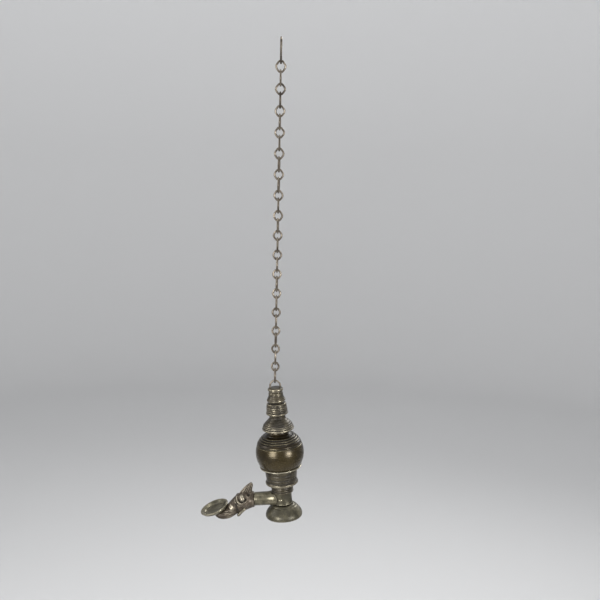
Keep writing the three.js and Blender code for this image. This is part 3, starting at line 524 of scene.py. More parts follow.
def threadedNeck():
    look = neckLook
    bottom = lampBox("reservoir_neck")[0]
    radius, bore, shoulder, flange, top = [look[key] for key in ("radius", "bore", "shoulder", "flange", "top")]
    line = walked([(bore, 0), (radius - look["chamfer"], 0), (radius, look["chamfer"]), (radius, shoulder),
                   (flange, shoulder), (flange, top), (bore, top), (bore, 0)], turning["outerStep"])[:-1]
    points, faces = revolved(line, noInside, look["sides"], 0.6)
    wall = np.repeat((line[:, 0] > radius - 0.1) & (line[:, 1] < shoulder - 0.3), look["sides"])
    wall = wall * ease(*look["threadStart"], points[:, 2]) * ease(*look["threadEnd"], points[:, 2])
    cut = 0.5 - 0.5 * threadWave(points, bottom)
    points[:, :2] *= (1 - wall * cut * look["depth"] / radius)[:, None]
    points[:, 2] += bottom
    wear, grimeAndShade = 0.7 * wall * (1 - cut) ** 2, 0.8 * cut * wall
    makePiece("threadedNeck", toRoom(points), faces, "upper_lamp", ["reservoir_neck"], "cast", wear, grimeAndShade)


# The cup: a lower foot band, a round shoulder with two cut lines, and a straight wall over its threaded socket.
cupLook = {
    "node": "socket_cup", "body": "base", "finish": "cast", "soft": 3, "phase": 2.1, "inside": (0, 0.7),
    "outer": [(0.68, 0), (0.655, 0.04), (0.65, 0.15), (0.66, 0.17), (0.87, 0.19), (0.965, 0.215), (1, 0.26),
        (0.995, 0.31), (0.965, 0.36), (0.935, 0.4), (0.93, 0.45), (0.94, 0.53), (0.95, 0.62), (0.965, 0.7),
        (0.98, 0.8), (0.985, 0.9), (0.965, 0.96), (0.94, 1)],
    "beads": [(0.08, 0.15, 0.45), (0.27, 0.35, 0.8), (0.385, -0.3, 0.45), (0.53, -0.4, 0.42), (0.6, 0.15, 0.5),
        (0.76, -0.3, 0.4), (0.93, -0.25, 0.4)],
    "inner": [(9.3, 25), (9.3, 15.2), (4.2, 15.2), (4.2, 12.2), (8.3, 12.2), (8.3, 0)],
    # lip: the cup's shoulder band that gets a painted highlight as well as rubbing
    "innerStep": 0.4, "innerSoft": 0, "lip": (0.275, 1.1), "thread": (9.3, 0.4, 15.6, 24.4),
}

# The stem: waisted, with the pin's and the pipe's joints hidden by their own pieces.
stemLook = {
    "outer": [(0, -5.7), (7.4, -5.7), (7.6, -5.5), (7.6, -4.7), (7.4, -4.5), (6, -4.5), (6, 0), (10.98, 0),
        (10.7, 2.1), (10.47, 7), (10.75, 11.9), (11.2, 14), (8, 14), (8, 31), (7.6, 31.4), (0, 31.4)],
    "peenDepth": 5.7, "shown": (14.01, 9),
}


def stem():
    look = stemLook
    bottom, height, _ = lampBox("stem")
    outline = np.array(look["outer"])
    outline[-4:, 1] = np.minimum(outline[-4:, 1], height - look["peenDepth"])  # the tenon ends with the solid
    line = walked(outline, 0.35)
    topShown, radiusShown = look["shown"]
    shown = (line[:, 1] >= 0) & (line[:, 1] <= topShown) & (line[:, 0] > radiusShown)
    wear = ease(0.15, 1.5, softened(bends(line), 2)) * 0.6 * shown + 0.3 * shown
    grimeAndShade = (ease(0.7, 0, line[:, 1]) + ease(13.2, 14, line[:, 1])) * shown * 0.9 + 0.6 * ~shown
    sides = turning["smallSides"]
    points, faces = revolved(line, noInside, sides, 0.9, True)
    points[:, 2] += bottom + look["peenDepth"]
    wear, grimeAndShade = [carried(values, 0, 0, sides, turning["poles"]) for values in (wear, grimeAndShade)]
    makePiece("waistedStem", toRoom(points), faces, "base", ["stem"], "foot", wear, grimeAndShade)


# The foot: a spreading bell with a rounded edge and a small flat shoulder round the stem.
footLook = {
    "node": "foot", "body": "base", "finish": "foot", "soft": 4, "phase": 2.7, "wear": 0.3, "rub": 0.6,
    "outer": [(0.93, 0.008), (0.965, 0.03), (0.986, 0.09), (0.989, 0.18), (0.977, 0.29), (0.945, 0.41),
        (0.89, 0.53), (0.83, 0.64), (0.775, 0.73), (0.725, 0.81), (0.69, 0.86), (0.65, 0.885), (0.61, 0.95),
        (0.56, 0.995)],
    "beads": [(0.16, -0.1, 0.35), (0.875, -0.25, 0.3)],
    "inner": [(6.3, 15.6), (6.3, 12.6), (12.87, 12.6), (13.75, 7.8), (17.95, 4.06), (19.5, 0)],
    "innerStep": 0.6, "innerSoft": 2, "inside": (0.1, 0.7),
}

dome()
globe()
threadedNeck()
turnedPiece("socketCup", cupLook)
stem()
turnedPiece("bellFoot", footLook)
print("dome, globe, cup, stem and foot: made")

# wire work: the loop, the hook and the chain

wireLook = {"sides": 18, "apexSteps": 12, "sideSteps": 7, "flankSteps": 5, "gap": 0.3}


def tube(line, ahead, across, radii, closed=False):
    # point = centre + radius (normal cos t + across sin t), carried along the wire's centre line
    t = fullTurn(wireLook["sides"])[:, None]
    across = np.broadcast_to(across, line.shape)
    ring = np.cross(across, ahead)[:, None] * np.cos(t) + across[:, None] * np.sin(t)
    points = line[:, None] + ring * radii[:, None, None]
    if closed:
        return points.reshape(-1, 3), [gridFaces(len(line), len(t), closedRows=True)]
    return capped(points)


def along(line):  # unit vectors from each point towards the next
    return unit(np.gradient(line, axis=0))


def roundedEnds(line, radius, reach):  # wire radii that round off towards both ends
    walk = np.concatenate(([0], np.cumsum(np.linalg.norm(np.diff(line, axis=0), axis=1))))
    edge = np.minimum(walk, walk[-1] - walk)
    return radius * np.sqrt(np.clip(1 - (1 - np.clip(edge / reach, 0, 1)) ** 2, 0.16, 1))


# The loop: two straight legs and a hand-bent arch, which is a little pointed and unevenly hammered.
loopLook = {"wire": 2, "width": 13.8, "rise": 9.5, "depth": 3, "pinch": 0.09, "hammered": 0.03,
            "archSteps": 48, "legSteps": 14}


def suspensionLoop():
    look = loopLook
    wire, rise, depth = look["wire"], look["rise"], look["depth"]
    capTop = lampBox("suspension_loop")[0] + depth
    bend = (look["width"] - wire) / 2
    springing = rise - wire / 2 - bend
    arc = np.linspace(0, np.pi, look["archSteps"])
    count = look["legSteps"]
    leg = np.stack((np.full(count, bend), np.linspace(-depth, springing, count)), 1)[:-1]
    pinch = 1 - look["pinch"] * np.sin(2 * arc) ** 2
    arch = np.stack((bend * pinch * np.cos(arc), springing + bend * pinch * np.sin(arc)), 1)
    path = np.vstack((leg, arch, leg[::-1] * (-1, 1)))
    line = np.stack((path[:, 0], np.zeros(len(path)), path[:, 1]), 1)
    radii = wire / 2 * (1 + look["hammered"] * np.sin(np.arange(len(line)) * 0.7))
    points, faces = tube(line, along(line), (0.0, 1.0, 0.0), radii)
    height = points[:, 2].copy()
    points[:, 2] += capTop
    wear = 0.55 + 0.45 * ease(springing, rise, height)
    grimeAndShade = 0.8 * ease(1.5, 0, height)
    makePiece("loopWire", toRoom(points), faces, "upper_lamp", ["suspension_loop"], "chain", wear, grimeAndShade)


# The hook: an arc over the bar, a shank that curves in to the middle, and an eye bent back on it.
hookLook = {"wire": 2.6, "drawn": 0.9, "innerRadius": 4.7, "drop": 26.8, "eye": 3.6, "tip": -42, "round": 1.1,
            "arcSteps": 70, "shankSteps": 40, "eyeSteps": 60}


def hangerHook():
    look = hookLook
    wire, innerRadius, drop, eye = look["wire"], look["innerRadius"], look["drop"], look["eye"]
    crook = innerRadius + wire / 2
    eyeAt = -drop + eye
    reach = (drop - innerRadius - eye) / 2
    arc = np.linspace(math.radians(look["tip"]), np.pi, look["arcSteps"])
    first = np.stack((crook * np.cos(arc), -innerRadius + crook * np.sin(arc)), 1)
    # the shank is a cubic curve with its two inner handles straight below and above its ends
    t = np.linspace(0, 1, look["shankSteps"])[:, None]
    a, b = np.array((-crook, -innerRadius)), np.array((-crook, -innerRadius - reach))
    c, d = np.array((-eye, eyeAt + reach)), np.array((-eye, eyeAt))
    shank = (1 - t) ** 3 * a + 3 * (1 - t) ** 2 * t * b + 3 * (1 - t) * t * t * c + t ** 3 * d
    wrap = 2 * math.asin((wire + wireLook["gap"]) / (2 * eye))
    turn = np.linspace(np.pi, 3 * np.pi - wrap, look["eyeSteps"])
    ringPath = np.stack((eye * np.cos(turn), eyeAt + eye * np.sin(turn)), 1)
    path = np.vstack((first, shank[1:], ringPath[1:]))
    line = np.stack((np.zeros(len(path)), path[:, 0], path[:, 1]), 1) * mm
    radii = roundedEnds(line, look["drawn"] * wire / 2 * mm, look["round"] * mm)
    points, faces = tube(line, along(line), (1.0, 0.0, 0.0), radii)
    wear = 0.45 + 0.4 * ease(-4 * mm, 1 * mm, points[:, 2])
    grimeAndShade = 0.7 * ease(-22 * mm, -27 * mm, points[:, 2])
    makePiece("hookWire", points, faces, "hanger", ["hanger_hook"], "chain", wear, grimeAndShade)


# The chain: each link hangs from the swing above it, and its size comes from its solid and the swing below.
linkLook = {"wire": 2.3, "play": 0.3, "sideBends": (3.6, 2.2), "drawn": 0.975, "flat": 0.024}
linkNames = [f"link_{index + 1:02d}" for index in range(32)]
swings = [joints[name + "_swing"] for name in linkNames] + [joints["lamp_swing"]]


def linkLine(width, pitch, seat, wire, sideBend):
    # four round bends joined by straight flanks, spaced evenly enough for a smooth wire
    apex = seat + linkLook["play"]
    half = (pitch + seat) / 2
    apexAt, sideAt = half - apex, (width - wire) / 2 - sideBend
    flank = math.atan2(sideAt, apexAt) + math.asin((sideBend - apex) / math.hypot(apexAt, sideAt))
    parts = []
    for x, z, radius, start, end, steps in (
        (sideAt, 0, sideBend, -flank, flank, wireLook["sideSteps"]),
        (0, apexAt, apex, flank, np.pi - flank, wireLook["apexSteps"]),
        (-sideAt, 0, sideBend, np.pi - flank, np.pi + flank, wireLook["sideSteps"]),
        (0, -apexAt, apex, np.pi + flank, 2 * np.pi - flank, wireLook["apexSteps"]),
    ):
        angle = np.linspace(start, end, steps)
        parts.append(np.stack((x + radius * np.cos(angle), z + radius * np.sin(angle)), 1))
    share = np.linspace(0, 1, wireLook["flankSteps"] + 2)[1:-1, None]
    line = []
    for part, nextPart in zip(parts, parts[1:] + parts[:1]):
        line += [part, part[-1] + (nextPart[0] - part[-1]) * share]
    return np.vstack(line) + (0, seat - half)


def chainLink(index):
    node, wire = linkNames[index], linkLook["wire"]
    pivot, below = [np.array(swings[index + k]["pos_m"]) for k in (0, 1)]
    across = np.array(swings[index + 1]["axis"], float)
    across /= np.linalg.norm(across)
    out = np.cross(across, (0, 0, 1))
    width = np.ptp(nodePoints(node) @ across) / mm
    pitch = (pivot[2] - below[2]) / mm
    seat = (wire + (hookLook["wire"] if index == 0 else wire)) / 2 + wireLook["gap"]
    path = softened(linkLine(width, pitch, seat, wire, linkLook["sideBends"][index % 2]), 3, True)
    line = np.stack((path[:, 0], np.zeros(len(path)), path[:, 1]), 1)
    ahead = unit(np.roll(line, -1, 0) - np.roll(line, 1, 0))
    # the wire: a little thinner at three places round each link, at a random turn, and drawn by hand, so never quite
    # even
    phase = chance.uniform(0, 6.28)
    uneven = 0.5 + 0.5 * np.sin(3 * fullTurn(len(path)) + phase)
    radii = wire / 2 * (linkLook["drawn"] - linkLook["flat"] * uneven)
    points, faces = tube(line, ahead, (0.0, 1.0, 0.0), radii, True)
    top, low = seat, -pitch
    ends = np.maximum(ease(top - 3.2, top - 0.4, points[:, 2]), ease(low + 3.2, low + 0.4, points[:, 2]))
    half, halfTall = (width - wire) / 2, (top - low) / 2
    sides = ease(0.55, 1.02, np.abs(points[:, 0]) / half)
    facing = np.abs(points[:, 1]) / (wire / 2)
    wear = 0.42 + 0.4 * facing * sides + 0.25 * ends + chance.uniform(-0.12, 0.12)
    # painted shade on the inner side of each link, fading out to its outer side, and dirt where the links bear on each
    # other
    fromMiddle = np.hypot(points[:, 0] / half, (points[:, 2] - (top + low) / 2) / halfTall)
    grimeAndShade = 1.2 * (1 - np.clip(fromMiddle, 0, 1)) + 0.25 * ends * (1 - facing)
    world = pivot + mm * (points[:, :1] * across + points[:, 1:2] * out + points[:, 2:] * (0, 0, 1))
    makePiece(f"chainWire{index + 1:02d}", world, faces, node, [node], "chain", wear, grimeAndShade)


suspensionLoop()
hangerHook()
for index in range(len(linkNames)):
    chainLink(index)
print("loop, hook and chain: made")

# The pipe: a flared shoulder hollowed to the stem, a plain barrel, and a spigot inside the head.
pipeLook = {"radius": 7.9, "flare": 9.2, "flareLength": 9, "axis": 23, "end": 34, "spigot": 5, "bore": 3.6, "tenon": 6,
            "stem": 11.35, "collar": 13.4, "collarFloor": 29.95, "footEdge": 22.3, "footTop": 15.95,
            "endRound": (-0.35, 34, 0.5), "endLine": (-0.18, 31.8, 0.35), "uneven": 0.004, "rings": 90, "sides": 96}


def spoutPipe():
    look = pipeLook
    stemRadius, axis, end, tenon, bore = [look[key] for key in ("stem", "axis", "end", "tenon", "bore")]
    turn = fullTurn(look["sides"])
    # barrel: its first ring lies on the stem's round side, and its radius eases from the flare to the plain pipe
    start = np.sqrt(stemRadius ** 2 - (look["flare"] * np.cos(turn)) ** 2)
    start = np.maximum(start, 0.55 * stemRadius)
    out = start + (end - start) * np.linspace(0, 1, look["rings"])[:, None]
    flared = (1 - ease(stemRadius - 2, stemRadius + look["flareLength"], out)) ** 1.6
    radius = look["radius"] + (look["flare"] - look["radius"]) * flared
    radius = radius * (1 + look["uneven"] * np.sin(5 * turn + 0.21 * out) * np.sin(0.3 * out))
    radius = radius + form(out, look["endRound"]) + form(out, look["endLine"])
    y, z = radius * np.cos(turn), axis + radius * np.sin(turn)
    # the flare is cut off level under the collar and over the foot
    z = np.minimum(z, look["collarFloor"] + 9 * ease(look["collar"] - 0.5, look["collar"] + 1.5, out))
    z = np.maximum(z, look["footTop"] - 9 * ease(look["footEdge"] - 1.5, look["footEdge"] + 0.5, out))

    def ring(at, size):
        return np.stack(np.broadcast_arrays(-at, size * np.cos(turn), axis + size * np.sin(turn)), -1)[None]

    tip = end + look["spigot"]
    ends = [(end, tenon), (tip, tenon), (tip, bore), (0, bore), (0, tenon), (start + 0.1, tenon)]
    points = np.concatenate([np.stack((-out, y, z), -1)] + [ring(at, size) for at, size in ends])
    distance = -points[..., 0]
    wear = 0.42 + 0.3 * ease(end - 1.6, end - 0.8, distance) * (distance < end)
    grimeAndShade = ease(1.2, 0, np.abs(distance - start)) + ease(look["footTop"] + 1.4, look["footTop"], points[..., 2])
    faces = [gridFaces(len(points), look["sides"], closedRows=True)]
    makePiece("spoutBarrel", toRoom(points), faces, "base", ["spout_pipe"], "foot", wear.ravel(), grimeAndShade.ravel())


# The pin: a round bar through the stem, with a small hammered head at each end.
pinLook = {"reach": 10.77, "head": 2.1, "rise": 0.9, "radius": 1.3, "out": 2.8, "dented": 0.03, "sides": 40}


def crossPin():
    reach, head, rise, radius = [pinLook[key] for key in ("reach", "head", "rise", "radius")]
    line = walked([(0, -reach - rise), (1.2, -reach - rise * 0.85), (1.85, -reach - rise * 0.4),
                   (head, -reach - 0.1), (head, -reach), (radius, -reach)], 0.1)
    line = np.vstack((line, line[::-1] * (1, -1)))
    points, faces = revolved(line, noInside, pinLook["sides"], 0.2, True)
    dent = 1 + pinLook["dented"] * np.sin(3 * np.arctan2(points[:, 1], points[:, 0]))
    world = np.stack((points[:, 0] * dent - pinLook["out"], points[:, 2], pipeLook["axis"] + points[:, 1]), 1)
    fromMiddle = np.abs(points[:, 2])
    wear = 0.5 + 0.3 * ease(reach, reach + rise, fromMiddle)
    grimeAndShade = 0.35 * ease(reach + 0.4, reach, fromMiddle)
    makePiece("jointPin", toRoom(world), faces, "base", ["pipe_pin"], "foot", wear, grimeAndShade)


# The beast's head: oval sections from the pipe to the tip of the lower jaw, as shares of its length, height and width.
# Rolls and cuts have a rise, a distance and a width. Lobes have a place, two sizes and a rise.
headLook = {
    "sections": [(0, -0.01, 0.75, 0.86), (0.09, -0.02, 0.84, 0.88), (0.19, -0.055, 0.92, 0.92),
        (0.3, -0.1, 0.99, 0.9), (0.4, -0.185, 0.96, 0.84), (0.5, -0.325, 0.9, 0.8), (0.58, -0.465, 0.82, 0.84),
        (0.68, -0.594, 0.655, 0.96), (0.78, -0.633, 0.55, 1), (0.88, -0.63, 0.455, 0.87),
        (0.96, -0.615, 0.29, 0.56), (1, -0.6, 0.1, 0.2)],
    "length": 49, "height": 23.8, "width": 20.8, "start": 34.3, "axis": 23, "rings": 300, "sides": 260, "soft": 140,
    "eye": (0.29, 0.19), "eyeRadius": 3.5, "eyeRise": 2.6, "socket": (-1.5, 4.4, 0.95),
    "brow": (1.4, 6.5, 1.3), "browCut": (-0.35, 8.8, 0.6), "underEye": (-2.2, -4.2, 1.84, 1.36, 1.25),
    "ear": (0.13, 0.34), "earRoll": (0.35, 2.6, 0.6), "earHole": (-1.7, 0, 1.35),
    "mouth": [(0.24, -0.25), (0.16, -0.2), (0.09, -0.22)], "mouthCut": (-0.55, 0, 0.4),
    "jaw": [(0.5, -0.66), (0.62, -0.74), (0.78, -0.78), (0.93, -0.71)], "jawCut": (-0.45, 0, 0.4),
    "jawRoll": (0.3, 1.0, 0.5), "collarRoll": (0.15, 35.5, 0.7), "collarCut": (-0.15, 37.0, 0.4), "hair": 0.09,
    "lip": [(44.8, 15.2), (48.0, 12.0), (51.8, 8.2), (55.2, 4.9)], "lipRadius": 1.9, "lipReach": 4.6,
    "lobes": [(61.0, 16.2, 4.2, 5.0, 1.3), (65.5, 7.2, 5.0, 2.8, 0.9), (36.2, 22.5, 3.2, 3.6, 0.8),
        (41.5, 19.5, 2.6, 2.2, 0.6)],
    "hollows": [([(56.3, 20.5), (55.2, 15.5), (54.4, 10.5)], 1.3, 1.5),
        ([(69.5, 12.2), (63, 10.6), (57, 11.6)], 0.7, 0.6), ([(52.0, 22.5), (48.5, 18.6), (43.5, 17.6)], 0.6, 0.6)],
    "forehead": (56.5, 25.5, 4, 4, 0.5),
}
dishLook = {
    "radius": 17.5, "depth": 6.4, "out": 82.6, "height": 15.9, "droop": 16.5, "roll": 4, "sides": 140,
    "outer": [(0, -1), (0.3, -1), (0.62, -0.86), (0.86, -0.52), (0.99, -0.08), (0.985, 0.06), (0.94, 0.1)],
    "inner": [(0.91, 0.11), (0.86, 0.05), (0.8, -0.06), (0.73, -0.2), (0.69, -0.3), (0.67, -0.4), (0.62, -0.46),
        (0.5, -0.5), (0.25, -0.54), (0, -0.56)],
    "floor": -0.56, "line": (0.4, 0.645, 0.35), "underLine": (0.2, -1.6, 0.3),
}


def dishTurn():  # the dish's droop and roll, as a matrix from its own frame to the lamp's
    a, b = -math.radians(dishLook["droop"]), math.radians(dishLook["roll"])
    droop = np.array(((math.cos(a), 0, math.sin(a)), (0, 1, 0), (-math.sin(a), 0, math.cos(a))))
    roll = np.array(((1, 0, 0), (0, math.cos(b), -math.sin(b)), (0, math.sin(b), math.cos(b))))
    return roll @ droop


def segmentDistance(x, z, path):  # distance to a polyline in the side plane, and how far along it
    best, share = np.full(x.shape, 1e9), np.zeros(x.shape)
    path = np.asarray(path, float)
    for k, (a, b) in enumerate(zip(path[:-1], path[1:])):
        d = b - a
        t = np.clip(((x - a[0]) * d[0] + (z - a[1]) * d[1]) / (d @ d), 0, 1)
        gap = np.hypot(x - a[0] - t * d[0], z - a[1] - t * d[1])
        nearer = gap < best
        best, share = np.where(nearer, gap, best), np.where(nearer, (k + t) / (len(path) - 1), share)
    return best, share


def headSection(shares, soft=0):  # middle, half height and half width of the head's section, in millimetres
    table, tall = np.array(headLook["sections"]), headLook["height"]
    rows = np.stack([np.interp(shares, table[:, 0], table[:, k]) for k in (1, 2, 3)], 1)
    return (softened(rows, soft) * (tall, tall / 2, headLook["width"] / 2)).T


def beastHead():
    look = headLook
    shares = np.linspace(0, 1, look["rings"])[:, None]
    middle, halfHeight, halfWidth = headSection(shares[:, 0], look["soft"])[..., None]
    turn = fullTurn(look["sides"])
    out = look["start"] + look["length"] * shares + 0 * turn
    y = halfWidth * np.cos(turn)
    z = look["axis"] + middle + halfHeight * np.sin(turn)

    def place(pair):
        return look["start"] - 0.3 + pair[0] * look["length"], look["axis"] + pair[1] * look["height"]

    # carving: each form lifts or sinks the surface along its own outward direction in the cross-section
    outY, outZ = np.cos(turn) / halfWidth, np.sin(turn) / halfHeight
    size = np.hypot(outY, outZ)
    side = ease(0.1, 0.5, np.abs(np.cos(turn)))
    eyeOut, eyeUp = place(look["eye"])
    fromEye = np.hypot(out - eyeOut, z - eyeUp)
    around = np.arctan2(z - eyeUp, out - eyeOut)  # 0 towards the snout, negative below
    lift = look["eyeRise"] * np.sqrt(np.clip(1 - (fromEye / look["eyeRadius"]) ** 2, 0, 1))
    deepest = ease(2.6, 0.6, np.abs(around + 2.2)) + 0.2  # behind and under the eye
    lift += deepest * form(fromEye, look["socket"])
    crescent = ease(-1.6, -1.2, around) * ease(1.1, 0.6, around)
    lift += crescent * (form(fromEye, look["brow"]) + form(fromEye, look["browCut"]))
    ahead, above, long, tall, rise = look["underEye"]
    lift += rise * swelling(out, z, (eyeOut + ahead, eyeUp + above), (long, tall), 4)
    for lobeOut, lobeUp, long, tall, rise in look["lobes"]:  # nose, jaw, cheek and the swelling under the ear
        lift += rise * swelling(out, z, (lobeOut, lobeUp), (long, tall), 3)
    for path, depth, width in look["hollows"]:
        lift -= depth * ridge(segmentDistance(out, z, path)[0], 0, width)
    # the mouth's corner is a cut line that runs from the lip's upper end back under the cheek
    mouth, share = segmentDistance(out, z, [place(pair) for pair in look["mouth"]])
    lift += form(mouth, look["mouthCut"]) * (1 - 0.7 * share)
    jaw = segmentDistance(out, z, [place(pair) for pair in look["jaw"]])[0]
    lift += form(jaw, look["jawCut"]) + form(jaw, look["jawRoll"])
    earOut, earUp = place(look["ear"])
    ear = np.hypot(out - earOut, z - earUp)
    lift += form(ear, look["earRoll"]) + form(ear, look["earHole"])
    collar = form(out, look["collarRoll"]) + form(out, look["collarCut"])
    # cheek and snout hair lines: shallow chased strokes that follow the head's length
    strokes = look["hair"] * np.sin(1.9 * (z - 0.3 * out)) * ease(0.5, 0.58, shares) * ease(0.95, 0.85, shares)
    lift = (lift + strokes) * side + collar
    z = z + lift * outZ / size
    points = np.stack((-out, y + lift * outY / size, z), -1)
    # the dish's seat: what lies in the dish's room moves down to just under its pan
    turnDish, dishPlace = dishTurn(), (-dishLook["out"], 0, dishLook["height"])
    own = (points - dishPlace) @ turnDish
    reach = np.hypot(own[..., 0], own[..., 1])
    pan = np.array(dishLook["outer"][:5]) * (dishLook["radius"], dishLook["depth"])
    under = np.interp(reach, pan[:, 0], pan[:, 1]) - 0.35
    seated = (reach < dishLook["radius"] + 0.3) & (own[..., 2] > under)
    own[..., 2] = np.where(seated, under, own[..., 2])
    points = own @ turnDish.T + dishPlace
    # rubbed on what stands out; dirt and painted shade in what lies deep, and painted shade where the head sits under
    # the dish
    rise = np.roll(lift, 1, 1) + np.roll(lift, -1, 1) - 2 * lift
    rise[1:-1] += lift[2:] + lift[:-2] - 2 * lift[1:-1]
    wear = np.clip(0.55 * ease(0.004, 0.05, -rise) + 0.9 * ease(0.5, 1.5, lift), 0, 1) * side
    headOut, headUp, long, tall, rub = look["forehead"]
    wear = np.clip(wear + rub * swelling(out, z, (headOut, headUp), (long, tall), 2) * side, 0, 1)
    grimeAndShade = ease(0.004, 0.05, rise) * 0.45 + 0.85 * ease(-0.3, -1.0, lift) + 0.8 * seated
    points, faces = capped(points)
    wear, grimeAndShade = np.append(wear, (0, 0)), np.append(grimeAndShade, (0, 0))
    makePiece("beastHeadCasting", toRoom(points), faces, "base", ["beast_head"], "head", wear, grimeAndShade)


# The lower lip: a rounded bar down each cheek, carried on the head's side and hanging a little below the jaw.
def lowerLip(name, side):
    look = headLook
    route = softened(walked(look["lip"], 0.3), 12)
    middle, halfHeight, halfWidth = headSection((route[:, 0] - look["start"]) / look["length"])
    reach = halfWidth * np.sqrt(np.clip(1 - ((route[:, 1] - look["axis"] - middle) / halfHeight) ** 2, 0, 1))
    reach = softened(np.maximum(reach, look["lipReach"]), 10) + 0.25
    line = np.stack((-route[:, 0], side * reach, route[:, 1]), 1)
    ahead = along(line)
    across = np.cross(ahead, unit(np.cross(ahead, (0, 1, 0))))
    points, faces = tube(line, ahead, across, roundedEnds(line, look["lipRadius"], look["lipRadius"]))
    # the lip bar's paler rim bronze is partly a painted highlight
    makePiece(name, toRoom(points), faces, "base", [], "rim", 0.35, 0.1)


# The crest: a pointed leaf leaning back, its section an oval cut by flutes each side of a middle rib.
crestLook = {
    "front": [(0.07, -0.26), (0.04, 0.08), (0.15, 0.29), (0.34, 0.54), (0.59, 0.81), (0.86, 1.0)],
    "back": [(0.79, -0.26), (0.91, 0.06), (0.92, 0.4), (1, 0.75), (0.97, 0.9), (0.88, 1.0)],
    "length": 18, "rise": 14.2, "thickness": 4.4, "corner": (-52.375, 29.664), "flutes": 5, "fluteDepth": 0.34,
    "rib": (0.5, 0, 0.13), "thinning": 0.55, "rings": 130, "sides": 150,
}


def crest():
    look = crestLook
    shares = np.linspace(0, 1, look["rings"])
    edges = []
    for key in ("front", "back"):
        path = np.array(look[key]) * (look["length"], look["rise"])
        walk = np.concatenate(([0], np.cumsum(np.hypot(*np.diff(path, axis=0).T))))
        edges.append(softened(np.stack([np.interp(shares, walk / walk[-1], path[:, k]) for k in (0, 1)], 1), 60))
    centre, half = (edges[0] + edges[1]) / 2, (edges[1] - edges[0]) / 2
    shares = shares[:, None]
    theta = fullTurn(look["sides"])
    v, up = np.cos(theta), np.sign(np.sin(theta))
    flute = 0.5 - 0.5 * np.cos(look["flutes"] * np.pi * (v + 1))
    depth = ease(0.1, 0.3, shares) * ease(1.0, 0.85, shares)
    halfThick = look["thickness"] / 2
    body = halfThick * (1 - look["thinning"] * ease(0.55, 1, shares))
    y = np.abs(np.sin(theta)) ** 0.7 * up * body * (1 - look["fluteDepth"] * depth * flute)
    y += up * depth * form(v, look["rib"])
    x = look["corner"][0] + centre[:, :1] + half[:, :1] * v
    z = look["corner"][1] + centre[:, 1:] + half[:, 1:] * v
    points, faces = capped(np.stack((x, np.clip(y, -halfThick, halfThick), z), -1))
    wear = 0.12 + (1 - flute) * 0.45 * depth + 0.35 * np.abs(v) ** 12
    grimeAndShade = flute * depth * 0.9 + ease(0.3, 0.16, shares)
    wear, grimeAndShade = np.append(wear, (0, 0)), np.append(grimeAndShade, (0, 0))
    makePiece("leafCrest", toRoom(points), faces, "base", [], "head", wear, grimeAndShade)


# The wick dish: a shallow pan with a thick rolled rim and a line cut round inside it.
def wickDish():
    look = dishLook
    radius, depth, sides = look["radius"], look["depth"], look["sides"]
    line = softened(walked(np.array(look["outer"] + look["inner"]) * (radius, depth), 0.18), 8)
    line[0], line[-1] = (0, -depth), (0, look["floor"] * depth)
    inside = np.arange(len(line)) > np.argmax(line[:, 1])
    cutDepth, cutAt, cutWidth = look["line"]
    cut = cutDepth * ridge(line[:, 0], cutAt * radius, cutWidth) * inside
    line[:, 1] -= cut
    underDepth, underAt, underWidth = look["underLine"]
    line[:, 0] -= underDepth * ridge(line[:, 1], underAt, underWidth) * ~inside
    points, faces = revolved(line, noInside, sides, 3.3, True)
    wear = 0.4 + 0.35 * ease(0.02, 0.5, softened(bends(line), 3))
    # painted shade: the pan darkens a little towards its floor inside; its cut line is darker still
    grimeAndShade = 0.1 * inside * ease(-0.1 * depth, -0.45 * depth, line[:, 1]) + 1.6 * cut
    wear, grimeAndShade = [carried(values, 0, 0, sides, (0.1, 0.1)) for values in (wear, grimeAndShade)]
    world = points @ dishTurn().T + (-look["out"], 0, look["height"])
    makePiece("wickPan", toRoom(world), faces, "base", ["wick_dish"], "foot", wear, grimeAndShade)


spoutPipe()
crossPin()
beastHead()
lowerLip("lowerLipNear", -1)
lowerLip("lowerLipFar", 1)
crest()
wickDish()
print("spout, head and dish: made")

# camera, light and floor

studio = {
    "lens": 54, "sensor": 36, "place": (0.02574847, -1.021, -0.0978), "yaw": 0.00020361, "pitch": -8,
    "roll": 0.02234068, "shift": -45.5 / 600, "aim": (0, 0, -0.42), "spread": 110,
    "lamps": [("frontBox", (-0.9, -1.45, -0.3), 0.85, 11.5), ("rightBox", (1.2, -1.2, -0.28), 0.55, 10),
              ("leftBox", (-1.5, -0.1, 0.3), 0.7, 3.5), ("topBox", (0.1, -0.25, 1.2), 0.9, 4),
              ("rearBox", (0.9, 1.5, 0.5), 0.9, 6)],
    "floor": -1.1, "flat": (0.3, 1.0), "sweep": 2.4, "bend": 0.9, "wall": 4.2, "sides": 96,
    "tones": (0.6, 0.86), "toneRise": 1.6, "air": (0.78, 0.79, 0.81), "airLevel": 0.95,
}

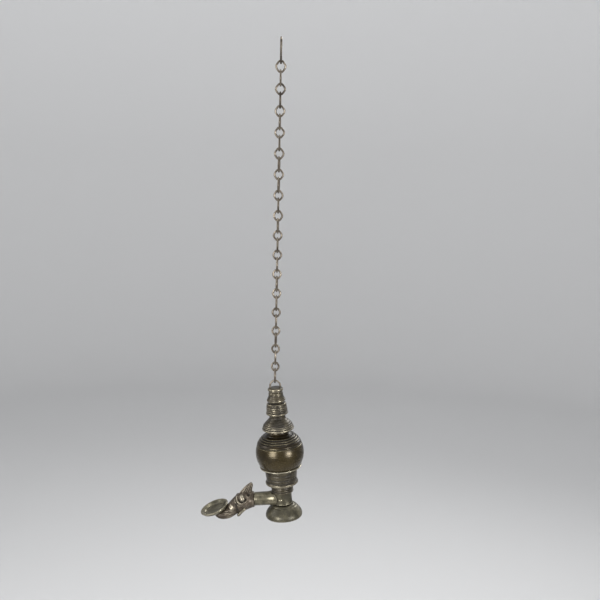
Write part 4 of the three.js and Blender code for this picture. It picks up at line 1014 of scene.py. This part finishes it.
camera = addObject("photoCamera", bpy.data.cameras.new("photoCamera"))
camera.data.lens, camera.data.sensor_width = studio["lens"], studio["sensor"]
camera.data.shift_y = studio["shift"]
yaw, pitch, roll = studio["yaw"], math.radians(studio["pitch"]), studio["roll"]
forward = Vector((math.sin(yaw) * math.cos(pitch), math.cos(yaw) * math.cos(pitch), math.sin(pitch)))
level = Vector((math.cos(yaw), -math.sin(yaw), 0))
upright = level.cross(forward)
right = level * math.cos(roll) + upright * math.sin(roll)
top = upright * math.cos(roll) - level * math.sin(roll)
columns = (right, top, -forward, Vector(studio["place"]))
camera.matrix_world = Matrix([[column[row] for column in columns] for row in range(3)] + [[0, 0, 0, 1]])
bpy.context.scene.camera = camera

for name, place, size, power in studio["lamps"]:
    light = bpy.data.lights.new(name, "AREA")
    light.shape, light.size, light.energy, light.spread = "SQUARE", size, power, math.radians(studio["spread"])
    holder = addObject(name, light)
    holder.location = place
    holder.rotation_euler = (Vector(studio["aim"]) - Vector(place)).to_track_quat("-Z", "Y").to_euler()
    holder.visible_camera = False


def paperFinish():  # pale paper that grows lighter from the floor up the wall
    paper, tree, shader, place = newMaterial("paper")
    height = newNode(tree, "SeparateXYZ", {0: place}, "Z")
    span = (studio["floor"], studio["floor"] + studio["toneRise"])
    tone = mapped(tree, height, span, studio["tones"], "LINEAR")
    feed(tree, shader, {"Base Color": tone, "Roughness": 1, "Specular IOR Level": 0})
    return paper


def paperSweep():  # a round studio: a flat floor, then a quarter round up to its wall, turned about the lamp
    bend, back, floor = studio["bend"], studio["sweep"], studio["floor"]
    arc = np.linspace(0, np.pi / 2, 24)
    run = np.concatenate((studio["flat"], back + bend * np.sin(arc), [back + bend]))[:, None]
    rise = np.concatenate(([0.0, 0.0], bend * (1 - np.cos(arc)), [studio["wall"]]))[:, None] + floor
    turn = fullTurn(studio["sides"])
    points = np.stack(np.broadcast_arrays(run * np.cos(turn), run * np.sin(turn), rise), -1).reshape(-1, 3)
    mesh = bpy.data.meshes.new("paperSweep")
    quads, fan = gridFaces(len(run), len(turn))[:, ::-1], capFaces(np.arange(len(turn)), len(points))
    mesh.from_pydata(points.tolist() + [(0, 0, floor)], [], quads.tolist() + fan.tolist())
    mesh.polygons.foreach_set("use_smooth", np.ones(len(quads) + len(fan), bool))
    mesh.materials.append(paperFinish())
    addObject("paperSweep", mesh)


paperSweep()
world = bpy.data.worlds.new("studioAir")
bpy.context.scene.world = world
world.use_nodes = True
background = world.node_tree.nodes["Background"]
feed(world.node_tree, background, {"Color": studio["air"], "Strength": studio["airLevel"]})
bpy.context.scene.view_settings.view_transform = "Standard"
print("studio: ready")
